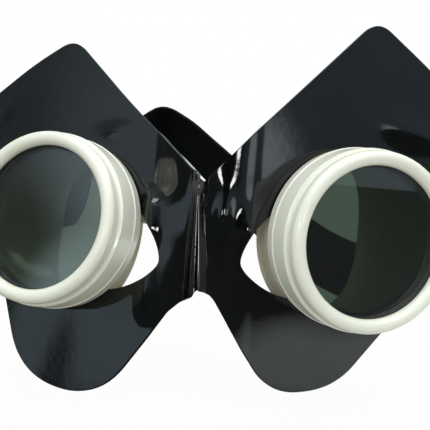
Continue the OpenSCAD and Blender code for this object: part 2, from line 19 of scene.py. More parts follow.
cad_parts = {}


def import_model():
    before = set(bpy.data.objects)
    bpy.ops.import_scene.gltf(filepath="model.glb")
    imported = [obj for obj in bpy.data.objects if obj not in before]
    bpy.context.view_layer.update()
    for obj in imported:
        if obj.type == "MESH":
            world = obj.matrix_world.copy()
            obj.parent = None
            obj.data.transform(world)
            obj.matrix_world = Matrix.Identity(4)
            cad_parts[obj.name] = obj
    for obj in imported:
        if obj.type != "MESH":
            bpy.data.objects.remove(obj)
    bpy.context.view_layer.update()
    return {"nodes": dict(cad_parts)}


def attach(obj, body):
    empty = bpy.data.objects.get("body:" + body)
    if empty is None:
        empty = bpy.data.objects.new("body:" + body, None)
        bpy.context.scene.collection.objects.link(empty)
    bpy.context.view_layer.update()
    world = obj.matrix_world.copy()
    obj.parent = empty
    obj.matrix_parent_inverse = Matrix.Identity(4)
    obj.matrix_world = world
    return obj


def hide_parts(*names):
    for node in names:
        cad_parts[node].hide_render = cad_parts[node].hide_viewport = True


LOG = logging.getLogger("goggles")
MM = 0.001
TOUCHING = 1e-6
Array = np.ndarray
Thing = bpy.types.Object
Socket = bpy.types.NodeSocket
Material = bpy.types.Material
Triple = tuple[float, float, float]
Pair = tuple[float, float]


class Side(IntEnum):
    """Which of the two cups, as seen from the front."""

    LEFT = -1
    RIGHT = 1

    @property
    def word(self) -> str:
        """The side's name, as the nodes use it."""
        return "left" if self is Side.LEFT else "right"


# ---- plain mathematics ----


def unit(v: Array) -> Array:
    """The vectors along the last axis, each divided by its length."""
    return v / np.linalg.norm(v, axis=-1, keepdims=True)


def ease(t: Array) -> Array:
    """Smooth step: t squared times three minus two t, with t held between 0 and 1."""
    u = np.clip(t, 0.0, 1.0)
    return u * u * (3.0 - 2.0 * u)


def rise(x: Array, none: float, full: float) -> Array:
    """0 as far as one value, 1 beyond the other, and a smooth step between them."""
    return ease((x - none) / (full - none))


def mix(a: Any, b: Any, t: Any) -> Any:
    """The value a fraction t of the way from a to b."""
    return a + (b - a) * t


def hump(x: Array, centre: Any, width: Any) -> Array:
    """A bell of height 1: e to the minus squared distance from the centre in widths."""
    return np.exp(-(((x - centre) / width) ** 2))


def full_turn(count: int) -> Array:
    """A number of equally spaced angles round a full turn."""
    return np.linspace(0.0, 2.0 * np.pi, count, endpoint=False)


def length_run(line: Array) -> Array:
    """The length along a polyline as far as each of its points."""
    return np.concatenate([[0.0], np.cumsum(np.linalg.norm(np.diff(line, axis=0), axis=1))])


def read_off(at: Array, run: Array, rows: Array) -> Array:
    """Every column of the rows, interpolated at lengths along their run."""
    return np.stack([np.interp(at, run, rows[:, k]) for k in range(rows.shape[1])], axis=1)


def resample(path: Array, step: float) -> Array:
    """Points at equal distances along a polyline.

    Args:
        path: rows of x, y, z and any further columns, which are carried along.
        step: the distance wanted between the points.

    Returns:
        The new rows, by linear interpolation over the length of the first three columns.
    """
    run = length_run(path[:, :3])
    count = max(4, int(round(run[-1] / step)) + 1)
    return read_off(np.linspace(0.0, run[-1], count), run, path)


def even_loop(line: Array, count: int) -> Array:
    """A closed outline resampled to a number of points at equal distances."""
    ring = np.concatenate([line, line[:1]])
    run = length_run(ring)
    return read_off(np.linspace(0.0, run[-1], count, endpoint=False), run, ring)


def smoothed(path: Array, rounds: int) -> Array:
    """Each inner row moved halfway to its neighbours' mean, a number of times; the ends stay."""
    out = path.copy()
    for _ in range(rounds):
        out[1:-1] = 0.5 * out[1:-1] + 0.25 * (out[:-2] + out[2:])
    return out


def filleted(
    corners: Sequence[Triple], steps: int = 5, closed: bool = True, end_share: float = 0.49
) -> Array:
    """A flat outline with each corner rounded by a quadratic curve.

    Args:
        corners: x, y and the distance from the corner at which its curve starts.
        steps: curve points a corner, besides its two ends.
        closed: the outline runs back to its start; otherwise its two ends stay as they are.
        end_share: the most of an open outline's first and last side that a curve takes up. Of any
            other side it takes up 0.49 at most.

    Returns:
        Points of the outline, (1-t)^2 u + 2t(1-t) p + t^2 w at each corner p.
    """
    c = np.array(corners, float)
    last = len(c) - 1
    t = np.linspace(0.0, 1.0, steps + 2)[:, None]
    out: list[Array] = []
    for i in range(len(c)):
        p, d = c[i, :2], c[i, 2]
        if d <= 0.0 or (not closed and i in (0, last)):
            out.append(p[None])
            continue
        a, b = c[i - 1, :2] - p, c[(i + 1) % len(c), :2] - p
        la, lb = np.linalg.norm(a), np.linalg.norm(b)
        before, after = (end_share if not closed and i == end else 0.49 for end in (1, last - 1))
        d = min(d, before * la, after * lb)
        u, w = p + a * d / la, p + b * d / lb
        out.append((1 - t) ** 2 * u + 2 * t * (1 - t) * p + t * t * w)
    return np.concatenate(out)


# ---- meshes ----


def grid_quads(rows: int, cols: int, wrap_rows: bool, wrap_cols: bool, start: int = 0) -> Array:
    """Quads of a rows by cols grid of points: (i, j), (i, j+1), (i+1, j+1), (i+1, j).

    Args:
        rows: points along the first parameter.
        cols: points along the second parameter.
        wrap_rows: joins the last row to the first.
        wrap_cols: joins the last column to the first.
        start: the index of the grid's first point.

    Returns:
        An array of four point indices a row.
    """
    i = np.arange(rows if wrap_rows else rows - 1)
    j = np.arange(cols if wrap_cols else cols - 1)
    a, b = np.meshgrid(i, j, indexing="ij")
    a2, b2 = (a + 1) % rows, (b + 1) % cols
    quads = np.stack([a * cols + b, a * cols + b2, a2 * cols + b2, a2 * cols + b], axis=-1)
    return quads.reshape(-1, 4) + start


def tube_faces(rows: int, cols: int, start: int = 0) -> list[Array]:
    """The quads of a tube and a fan of triangles to the pole at each of its ends.

    The tube's points are a grid of closed rows. The first row's pole follows them, then the last's.
    """
    pole = start + rows * cols
    base = pole - cols
    i = np.arange(cols)
    j = (i + 1) % cols
    return [
        grid_quads(rows, cols, False, True, start),
        np.stack([np.full(cols, pole), start + j, start + i], axis=-1),
        np.stack([np.full(cols, pole + 1), base + i, base + j], axis=-1),
    ]


def signed_volume(points: Array, faces: Sequence[Array]) -> float:
    """Six times the volume inside the faces: the sum of a dot (b cross c) over their triangles."""
    total = 0.0
    for group in faces:
        for k in range(1, group.shape[1] - 1):
            a, b, c = points[group[:, 0]], points[group[:, k]], points[group[:, k + 1]]
            total += float(np.einsum("ij,ij->", a, np.cross(b, c)))
    return total


def make_piece(
    name: str,
    points: Array,
    faces: Sequence[Array],
    sharp_deg: float = 50.0,
    marks: Optional[Array] = None,
    closed: bool = True,
) -> Thing:
    """A mesh object from arrays, at the origin, with its faces outward and smooth shading.

    Args:
        name: the piece's name.
        points: vertex places in millimetres.
        faces: groups of faces, each an array with one row of point indices a face.
        sharp_deg: edges that turn by more than this stay sharp.
        marks: one row of three numbers a vertex, kept as the attribute "weave".
        closed: the faces close a solid, so their sense can be put right by its volume.

    Returns:
        The new object, linked to the scene.
    """
    groups = [g for g in faces if len(g)]
    if closed and signed_volume(points - points.mean(axis=0), groups) < 0.0:
        groups = [g[:, ::-1] for g in groups]
    mesh = bpy.data.meshes.new(name)
    mesh.vertices.add(len(points))
    mesh.vertices.foreach_set("co", (points * MM).astype(np.float32).ravel())
    totals = np.concatenate([np.full(len(g), g.shape[1]) for g in groups]).astype(np.int32)
    loops = np.concatenate([g.ravel() for g in groups]).astype(np.int32)
    starts = np.concatenate([[0], np.cumsum(totals)[:-1]]).astype(np.int32)
    mesh.loops.add(len(loops))
    mesh.loops.foreach_set("vertex_index", loops)
    mesh.polygons.add(len(totals))
    mesh.polygons.foreach_set("loop_start", starts)
    mesh.polygons.foreach_set("loop_total", totals)
    mesh.update(calc_edges=True)
    mesh.validate()
    if marks is not None:
        layer = mesh.attributes.new("weave", "FLOAT_VECTOR", "POINT")
        layer.data.foreach_set("vector", marks.astype(np.float32).ravel())
    smooth(mesh)
    mesh.set_sharp_from_angle(angle=math.radians(sharp_deg))
    return added(name, mesh)


def added(name: str, data: Any) -> Thing:
    """A new object of the scene with its data."""
    obj = bpy.data.objects.new(name, data)
    bpy.context.scene.collection.objects.link(obj)
    return obj


def smooth(mesh: bpy.types.Mesh) -> None:
    """Shades every face smooth."""
    mesh.polygons.foreach_set("use_smooth", np.ones(len(mesh.polygons), dtype=bool))


def weld(mesh: bpy.types.Mesh, flat_deg: float = 0.0) -> None:
    """Merges touching points, and with an angle also neighbouring faces that turn by less."""
    bm = bmesh.new()
    bm.from_mesh(mesh)
    bmesh.ops.remove_doubles(bm, verts=bm.verts, dist=TOUCHING)
    if flat_deg:
        bmesh.ops.dissolve_limit(
            bm, angle_limit=math.radians(flat_deg), verts=bm.verts, edges=bm.edges
        )
    bm.to_mesh(mesh)
    bm.free()


def bevelled(obj: Thing, name: str, width: float, segments: int, from_deg: float) -> Any:
    """The new Bevel modifier that rounds an object's edges which turn by more than an angle."""
    bevel = obj.modifiers.new(name, "BEVEL")
    bevel.width = width * MM
    bevel.segments = segments
    bevel.limit_method = "ANGLE"
    bevel.angle_limit = math.radians(from_deg)
    return bevel


def turned(name: str, place: "CupPlace", profile: Array, steps: int, sharp_deg: float) -> Thing:
    """A solid of revolution about a cup's axis.

    A closed profile of (radius, depth) points is carried round the axis: x = r cos a, y = r sin a,
    z = minus the depth. If the profile starts and ends on the axis, its ends become single poles.
    """
    a = full_turn(steps)
    poles = profile[0, 0] < TOUCHING and profile[-1, 0] < TOUCHING
    rim = profile[1:-1] if poles else profile
    r, s = rim[:, 0][:, None], rim[:, 1][:, None]
    local = np.stack([r * np.cos(a), r * np.sin(a), -s + 0.0 * a], axis=-1).reshape(-1, 3)
    faces = [grid_quads(len(rim), steps, True, True)]
    if poles:
        faces = tube_faces(len(rim), steps)
        local = np.concatenate([local, [[0, 0, -profile[0, 1]], [0, 0, -profile[-1, 1]]]])
    return make_piece(name, place.points(local), faces, sharp_deg)


def plate_loop(
    name: str, place: "CupPlace", outer: Array, inner: Array, levels: Pair, fillet: float
) -> Thing:
    """A flat ring-shaped plate between an outer and an inner outline with rounded edges.

    The cross-section runs round the four edges of the plate; at each edge a quarter circle of the
    fillet's radius joins the faces. The two outlines have the same number of points.
    """
    low, high = levels
    quarter = np.linspace(0.0, 0.5 * np.pi, 4)
    ring: list[list[Array]] = []
    for line, sign in ((outer, 1.0), (inner, -1.0)):
        along = unit(np.roll(line, -1, axis=0) - np.roll(line, 1, axis=0))
        out = np.stack([along[:, 1], -along[:, 0]], axis=-1) * sign
        rows = []
        for base, up, turn in ((high - fillet, 1.0, quarter[::-1]), (low + fillet, -1.0, quarter)):
            for g in turn:
                p = line + out * fillet * (math.cos(g) - 1.0)
                z = base + up * fillet * math.sin(g)
                rows.append(np.column_stack([p, np.full(len(p), z)]))
        ring.append(rows)
    grid = np.stack(ring[0] + ring[1][::-1])
    quads = grid_quads(len(grid), grid.shape[1], True, True)
    return make_piece(name, place.points(grid.reshape(-1, 3)), [quads])


@dataclass(frozen=True)
class BandSection:
    """The cross-section of a flat band: ribbed faces and round edges."""

    width: float
    thickness: float
    ribs: int = 0
    rib_height: float = 0.0
    per_rib: int = 4

    def outline(self) -> Array:
        """The section's points as (across, through).

        They run over one face from edge to edge, round the edge by a half circle, and back over the
        other; a face's height is half the thickness less a rib's cosine trough.
        """
        r = self.thickness / 2.0
        half = self.width / 2.0 - r
        x = np.linspace(-half, half, max(8, self.ribs * self.per_rib) + 1)
        wave = 0.5 - 0.5 * np.cos(2.0 * np.pi * (x + half) / (2.0 * half) * max(self.ribs, 1))
        lift = r - self.rib_height * (1.0 - wave) if self.ribs else np.full_like(x, r)
        arc = np.linspace(0.5 * np.pi, -0.5 * np.pi, 7)[1:-1]
        edge = np.stack([half + r * np.cos(arc), r * np.sin(arc)], axis=-1)
        top = np.stack([x, lift], axis=-1)
        bottom = np.stack([x[::-1], -lift[::-1]], axis=-1)
        return np.concatenate([top, edge, bottom, -edge])


def swept_band(name: str, path: Array, section: BandSection, pinch: float = 0.0) -> Thing:
    """A band carried along a path and closed at both ends.

    Args:
        name: the piece's name.
        path: rows of x, y, z and the direction of the band's upper edge.
        section: the band's cross-section.
        pinch: fraction by which the thickness shrinks over the last 1.5 mm at the two cut ends.

    Returns:
        The band, each section point being path + up * across + through * normal, with up made
        square to the path. Its attribute "weave" holds across, the run along the path and the side.
    """
    p = path[:, :3]
    d = unit(np.gradient(p, axis=0))
    up = unit(path[:, 3:6] - np.sum(path[:, 3:6] * d, axis=1, keepdims=True) * d)
    out = section.outline()
    run = length_run(p)
    thin = 1.0 - pinch * (1.0 - rise(np.minimum(run, run[-1] - run), 0.0, 1.5))
    through = out[None, :, 1:2] * thin[:, None, None]
    grid = p[:, None] + up[:, None] * out[None, :, 0:1] + np.cross(d, up)[:, None] * through
    marks = np.stack(np.broadcast_arrays(out[:, 0], run[:, None], np.sign(out[:, 1])), axis=-1)
    points = np.concatenate([grid.reshape(-1, 3), p[:1], p[-1:]])
    marks = np.concatenate([marks.reshape(-1, 3), [[0, 0, 0]], [[0, run[-1], 0]]])
    return make_piece(name, points, tube_faces(*grid.shape[:2]), marks=marks)


# ---- finishes ----


class Tree:
    """A node tree, with short ways to add nodes and join them."""

    def __init__(self, tree: bpy.types.NodeTree) -> None:
        """Starts with the tree empty."""
        self.tree = tree
        tree.nodes.clear()

    def put(self, node: bpy.types.Node, socket: Any, value: Any) -> None:
        """Joins a socket to another node's output, or sets its value."""
        target = node.inputs[socket]
        if isinstance(value, Socket):
            self.tree.links.new(value, target)
        else:
            target.default_value = value

    def add(self, kind: str, inputs: Optional[dict] = None, **settings: Any) -> bpy.types.Node:
        """A new node of a kind, with its settings and its inputs by name or number."""
        node = self.tree.nodes.new("ShaderNode" + kind)
        for key, value in settings.items():
            setattr(node, key, value)
        for key, value in (inputs or {}).items():
            self.put(node, key, value)
        return node

    def math(self, operation: str, a: Any, b: Any = 0.0) -> Socket:
        """The output of a Math node on two values."""
        return self.add("Math", {0: a, 1: b}, operation=operation).outputs[0]

    def along(self, a: Any, b: Triple) -> Socket:
        """How far one direction points along another, whose length is first made 1."""
        way = tuple(unit(np.array(b)))
        return self.add("VectorMath", {0: a, 1: way}, operation="DOT_PRODUCT").outputs["Value"]

    def noise(self, at: Any, scale: float, detail: float = 3.0, roughness: float = 0.5) -> Socket:
        """The grey output of a Noise texture."""
        inputs = {"Vector": at, "Scale": scale, "Detail": detail, "Roughness": roughness}
        return self.add("TexNoise", inputs).outputs[0]

    def ramp(self, value: Any, *stops: tuple[float, Triple]) -> Socket:
        """The colour output of a ColorRamp with stops of place and colour."""
        node = self.add("ValToRGB", {0: value})
        while len(node.color_ramp.elements) < len(stops):
            node.color_ramp.elements.new(0.5)
        for element, (at, colour) in zip(node.color_ramp.elements, stops):
            element.position = at
            element.color = (*colour, 1.0)
        return node.outputs[0]

    def blend(self, share: Any, a: Any, b: Any) -> Socket:
        """The colour a share of the way from one colour to another."""
        return self.add("Mix", {0: share, 6: a, 7: b}, data_type="RGBA").outputs[2]

    def scaled(self, value: Any, low: float, high: float) -> Socket:
        """A value from 0 to 1 carried to a range."""
        return self.add("MapRange", {"Value": value, "To Min": low, "To Max": high}).outputs[0]

    def share(self, value: Any, none: float, full: float, kind: str = "LINEAR") -> Socket:
        """0 as far as one value, 1 beyond the other, and a kind of step between them."""
        inputs = {"Value": value, "From Min": none, "From Max": full}
        return self.add("MapRange", inputs, interpolation_type=kind).outputs[0]

    def bump(self, height: Any, strength: float, distance: float, under: Any = None) -> Socket:
        """The normal of a Bump node, over another normal if one is given."""
        inputs = {"Height": height, "Strength": strength, "Distance": distance}
        if under is not None:
            inputs["Normal"] = under
        return self.add("Bump", inputs).outputs[0]

    def place(self) -> Socket:
        """The piece's own coordinates in metres."""
        return self.add("TexCoord").outputs["Object"]

    def behind(self, depth: Any) -> Socket:
        """1 where the camera looks, and through glass at what lies behind the goggles.

        Args:
            depth: a value that is above 0 behind the goggles.

        Returns:
            The larger of Is Camera Ray and Is Transmission Ray times whether the depth is above 0.
        """
        light = self.add("LightPath").outputs
        back = self.math("GREATER_THAN", depth, 0.0)
        through = self.math("MULTIPLY", light["Is Transmission Ray"], back)
        return self.math("MAXIMUM", light["Is Camera Ray"], through)

    def whiten(self, out: bpy.types.Node, tone: Socket, white: bpy.types.Node, share: Any) -> None:
        """Ends the tree with a share of a white shader over a shader's output."""
        both = self.add("MixShader", {0: share, 1: tone, 2: white.outputs[0]})
        self.put(out, "Surface", both.outputs[0])


class Shader(Tree):
    """A material's node tree, which starts with one Principled shader joined to the output."""

    def __init__(self, name: str) -> None:
        """Makes the material."""
        self.material = bpy.data.materials.new(name)
        self.material.use_nodes = True
        super().__init__(self.material.node_tree)
        self.surface = self.add("BsdfPrincipled")
        self.output = self.add("OutputMaterial", {"Surface": self.surface.outputs[0]})

    def set(self, **values: Any) -> None:
        """Sets or joins the Principled shader's sockets, whose names have _ for a space."""
        for key, value in values.items():
            self.put(self.surface, key.replace("_", " "), value)


class Finish:
    """A finish; each kind paints its own surface."""

    def paint(self, s: Shader, at: Socket) -> None:
        """Sets the shader from the piece's own coordinates."""
        raise NotImplementedError

    def build(self, name: str) -> Material:
        """Returns the material."""
        s = Shader(name)
        self.paint(s, s.place())
        return s.material


@dataclass(frozen=True)
class Vinyl(Finish):
    """Calendered black vinyl: almost a mirror, with a faint unevenness, dust and rub marks."""

    low: Triple = (0.0012, 0.0014, 0.0016)
    high: Triple = (0.0028, 0.0032, 0.0036)
    gloss: float = 0.06

    def paint(self, s: Shader, at: Socket) -> None:
        """Black in clouds, rubbed in places, with peel, slow unevenness and specks of dust."""
        s.set(Base_Color=s.ramp(s.noise(at, 60.0), (0.3, self.low), (0.75, self.high)))
        rub = s.noise(at, 240.0, 5.0, 0.6)
        s.set(Roughness=s.scaled(rub, self.gloss * 0.5, self.gloss * 1.7), IOR=1.5)
        peel = s.bump(s.noise(at, 420.0, 2.0), strength=0.06, distance=0.0002)
        slow = s.bump(s.noise(at, 30.0, 1.0), strength=0.06, distance=0.0016, under=peel)
        specks = s.add("TexVoronoi", {"Vector": at, "Scale": 260.0}).outputs["Distance"]
        dust = s.math("LESS_THAN", specks, 0.045)
        s.set(Normal=s.bump(dust, strength=0.35, distance=0.0003, under=slow))


@dataclass(frozen=True)
class Moulding(Finish):
    """Moulded ivory plastic: warm, a little translucent, glossy over a faint moulding grain."""

    tone: Triple
    shade: Triple
    gloss: float = 0.22
    glow: float = 0.12

    def paint(self, s: Shader, at: Socket) -> None:
        """Two tones in clouds, light that goes a little way in, a thin coat, waves over grain."""
        cloud = s.noise(at, 55.0, 4.0, 0.55)
        s.set(Base_Color=s.ramp(cloud, (0.25, self.shade), (0.7, self.tone)), IOR=1.48)
        s.set(Roughness=s.scaled(s.noise(at, 300.0, 4.0), self.gloss * 0.7, self.gloss * 1.4))
        s.set(Subsurface_Weight=self.glow, Subsurface_Radius=(0.004, 0.003, 0.002))
        s.set(Subsurface_Scale=0.5, Coat_Weight=0.35, Coat_Roughness=0.06)
        grain = s.bump(s.noise(at, 1600.0, 2.0), strength=0.05, distance=0.0001)
        s.set(Normal=s.bump(s.noise(at, 90.0, 2.0), strength=0.08, distance=0.0006, under=grain))


@dataclass(frozen=True)
class LensGlass(Finish):
    """Polished glass, clear or dyed through."""

    tint: Triple

    def paint(self, s: Shader, at: Socket) -> None:
        """Sees through, with the slight waves of pressed glass."""
        s.set(Base_Color=(*self.tint, 1.0), Transmission_Weight=1.0, IOR=1.5, Roughness=0.0)
        s.set(Normal=s.bump(s.noise(at, 30.0, 1.0), strength=0.02, distance=0.0005))


@dataclass(frozen=True)
class Elastic(Finish):
    """Woven black elastic: lengthwise ribs in the mesh, with the cross threads in this weave."""

    low: Triple = (0.0005, 0.0006, 0.0007)
    high: Triple = (0.0040, 0.0045, 0.0050)
    pick_per_mm: float = 1.6
    cord_per_mm: float = 1.0

    def paint(self, s: Shader, at: Socket) -> None:
        """Picks run across, and every other cord has them half a step on; fuzz lies over both."""
        weave = s.add("Attribute", attribute_name="weave").outputs["Vector"]
        across, along, _ = s.add("SeparateXYZ", {0: weave}).outputs
        cord = s.math("SINE", s.math("MULTIPLY", across, math.pi * self.cord_per_mm))
        shift = s.math("MULTIPLY", s.math("GREATER_THAN", cord, 0.0), math.pi)
        turns = s.math("MULTIPLY", along, 2.0 * math.pi * self.pick_per_mm)
        pick = s.math("SINE", s.math("ADD", turns, shift))
        fuzz = s.noise(at, 2600.0, 3.0)
        thread = s.math("ADD", s.math("MULTIPLY", pick, 0.35), s.math("MULTIPLY", fuzz, 0.6))
        s.set(Base_Color=s.ramp(thread, (0.05, self.low), (0.85, self.high)))
        s.set(Roughness=s.scaled(fuzz, 0.62, 0.9), IOR=1.45, Specular_IOR_Level=0.2)
        s.set(Sheen_Weight=0.015, Sheen_Roughness=0.5, Sheen_Tint=(0.5, 0.52, 0.55, 1.0))
        s.set(Normal=s.bump(thread, strength=0.5, distance=0.00025))


@dataclass(frozen=True)
class Rubber(Finish):
    """Matt moulded rubber or plastic with a fine tooth."""

    tone: Triple
    gloss: float = 0.55

    def paint(self, s: Shader, at: Socket) -> None:
        """Two tones in clouds and a fine tooth."""
        dark = tuple(c * 0.6 for c in self.tone)
        s.set(Base_Color=s.ramp(s.noise(at, 120.0, 4.0), (0.3, dark), (0.7, self.tone)), IOR=1.5)
        s.set(Roughness=s.scaled(s.noise(at, 500.0, 3.0), self.gloss * 0.8, self.gloss * 1.2))
        s.set(Normal=s.bump(s.noise(at, 1500.0, 2.0), strength=0.12, distance=0.0002))


@dataclass(frozen=True)
class Steel(Finish):
    """Brushed metal, worn a little brighter in places."""

    tone: Triple = (0.42, 0.42, 0.43)
    gloss: float = 0.34

    def paint(self, s: Shader, at: Socket) -> None:
        """Two tones in clouds, and fine lines across the height."""
        dark = tuple(c * 0.7 for c in self.tone)
        s.set(Base_Color=s.ramp(s.noise(at, 300.0, 5.0), (0.3, dark), (0.7, self.tone)))
        s.set(Metallic=1.0)
        brushed = s.add("Mapping", {"Vector": at, "Scale": (300.0, 300.0, 4000.0)}).outputs[0]
        lines = s.noise(brushed, 1.0, 3.0)
        s.set(Roughness=s.scaled(lines, self.gloss * 0.7, self.gloss * 1.3))
        s.set(Normal=s.bump(lines, strength=0.15, distance=0.0001))


class Finishes:
    """Every finish of the goggles, built once."""

    def __init__(self) -> None:
        """Builds the materials."""
        self.vinyl = Vinyl().build("black_vinyl")
        self.ring = Moulding((0.80, 0.785, 0.68), (0.76, 0.74, 0.63)).build("ivory_ring")
        self.cup = Moulding((0.74, 0.69, 0.55), (0.69, 0.635, 0.49), 0.2, 0.2).build("ivory_cup")
        self.clear = LensGlass((0.97, 0.985, 0.98)).build("cover_glass")
        self.filter = LensGlass((0.055, 0.082, 0.058)).build("filter_glass")
        self.rubber = Rubber((0.018, 0.018, 0.019)).build("black_rubber")
        self.elastic = Elastic().build("woven_elastic")
        self.buckle = Rubber((0.016, 0.016, 0.018), 0.35).build("moulded_slide")
        self.steel = Steel().build("dull_steel")
        self.tab = Steel((0.085, 0.085, 0.088), 0.5).build("blackened_steel")
        self.thread = Rubber((0.03, 0.03, 0.032), 0.7).build("sewing_thread")


def dress(obj: Thing, material: Material) -> None:
    """Gives an object one material in place of any that it has."""
    obj.data.materials.clear()
    obj.data.materials.append(material)


def settle(obj: Thing, material: Material, body: str, slot: str, *nodes: str) -> None:
    """Dresses a new piece and names its body and the nodes that it stands for."""
    dress(obj, material)
    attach(obj, body)
    if nodes:
        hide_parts(*nodes)
    LOG.info("%s: %d faces on %s", obj.name, len(obj.data.polygons), body)


# ---- the cups ----


@dataclass(frozen=True)
class CupPlace:
    """Where a cup sits: x to its temple, y up, z out of its lens, from the opening's middle."""

    side: Side
    splay: float
    lift: float
    origin: Triple

    @property
    def word(self) -> str:
        """The side's name."""
        return self.side.word

    @property
    def up(self) -> Array:
        """The cup's own upward direction in the part's frame."""
        return self.turned_dir((0, 1, 0))

    def axes(self) -> Array:
        """The cup's three directions as rows in the part's frame."""
        a, b = math.radians(90.0 - self.lift), math.radians(int(self.side) * self.splay)
        x, up, out = np.diag([float(self.side), 1.0, 1.0])
        y = up * math.cos(a) - out * math.sin(a)
        z = up * math.sin(a) + out * math.cos(a)
        turned_x = x * math.cos(b) - y * math.sin(b)
        turned_y = x * math.sin(b) + y * math.cos(b)
        return np.stack([turned_x, turned_y, z], axis=1)

    def points(self, local: Array) -> Array:
        """Points of the cup's own frame, carried to the part's frame."""
        return np.asarray(self.origin, float) + np.asarray(local, float) @ self.axes()

    def point(self, x: float, y: float, z: float) -> Array:
        """One point of the cup's own frame, carried to the part's frame."""
        return self.points([[x, y, z]])[0]

    def turned_dir(self, local: Sequence[float]) -> Array:
        """A direction of the cup's own frame in the part's frame."""
        return np.asarray(local, float) @ self.axes()


PLACES = {
    Side.LEFT: CupPlace(Side.LEFT, 19.0, 9.9, (-53.15, -29.8, 0.6)),
    Side.RIGHT: CupPlace(Side.RIGHT, 22.8, -1.1, (53.15, -36.2, -0.6)),
}
NOSE_RADII = {Side.LEFT: 22.8, Side.RIGHT: 27.5}


@dataclass
class ScrewRing:
    """The ring that screws on a cup: rounded lip, groove, band, raised line and edge band."""

    place: CupPlace
    aperture_r: float = 23.5
    lip_r: float = 2.3
    seat_s: float = 1.0
    groove: float = 1.0
    band_r: float = 28.8
    line_h: float = 0.32
    depth: float = 16.4
    bore_r: float = 27.15

    def profile(self) -> Array:
        """The ring's closed section as (radius, depth): an arc at the lip, and filleted corners."""
        mid = self.aperture_r + self.lip_r
        seat = math.asin(self.seat_s / self.lip_r)
        a = np.linspace(math.pi + seat, 0.0, 26)
        lip = np.stack([mid + self.lip_r * np.cos(a), -self.lip_r * np.sin(a)], axis=-1)
        r, d = self.band_r, self.depth
        low, line, edge = r - self.groove, r + self.line_h, mid + self.lip_r
        rest = filleted(
            [
                (edge, 0.0, 0.0), (edge, 1.5, 0.8), (low, 2.6, 0.5), (low, 3.45, 0.15),
                (r, 3.75, 0.14), (r, d - 5.0, 0.15), (line, d - 4.75, 0.12), (line, d - 4.3, 0.12),
                (r, d - 4.05, 0.15), (r - 0.05, d - 0.5, 0.3), (r - 0.6, d, 0.3),
                (self.bore_r, d, 0.2), (self.bore_r, self.seat_s, 0.1),
                (mid - self.lip_r * math.cos(seat), self.seat_s, 0.0),
            ],
            steps=4,
            closed=False,
        )
        return np.concatenate([lip, rest[1:-1]])

    def build(self, finishes: Finishes) -> None:
        """Makes the ring and lets it stand for the CAD ring."""
        word = self.place.word
        obj = turned(f"{word}_ring_body", self.place, self.profile(), steps=240, sharp_deg=50.0)
        settle(obj, finishes.ring, f"{word}_screw_ring", "ring", f"{word}_ring")


@dataclass
class LensPack:
    """Cover lens, spacer and filter lens, with the gasket that they seat on."""

    place: CupPlace
    lens_r: float = 25.0
    bevel: float = 0.25
    cover: Pair = (1.15, 2.65)
    filter: Pair = (3.65, 6.65)

    def disc(self, name: str, front: float, back: float) -> Thing:
        """A disc with both edges bevelled, between two depths."""
        r, b = self.lens_r, self.bevel
        half = [(0, front), (r - b, front), (r, front + b), (r, back - b), (r - b, back), (0, back)]
        name = f"{self.place.word}_{name}_disc"
        return turned(name, self.place, np.array(half, float), steps=160, sharp_deg=30.0)

    def build(self, nodes: dict, finishes: Finishes) -> None:
        """Makes the two lenses, and dresses the spacer and the gasket."""
        word = self.place.word
        for kind, depths, glass in (
            ("cover", self.cover, finishes.clear), ("filter", self.filter, finishes.filter)
        ):
            disc = self.disc(kind, *depths)
            settle(disc, glass, f"{word}_lens_pack", f"{kind}_glass", f"{word}_{kind}_lens")
        dress(nodes[f"{word}_spacer"], finishes.rubber)
        dress(nodes[f"{word}_gasket"], finishes.rubber)


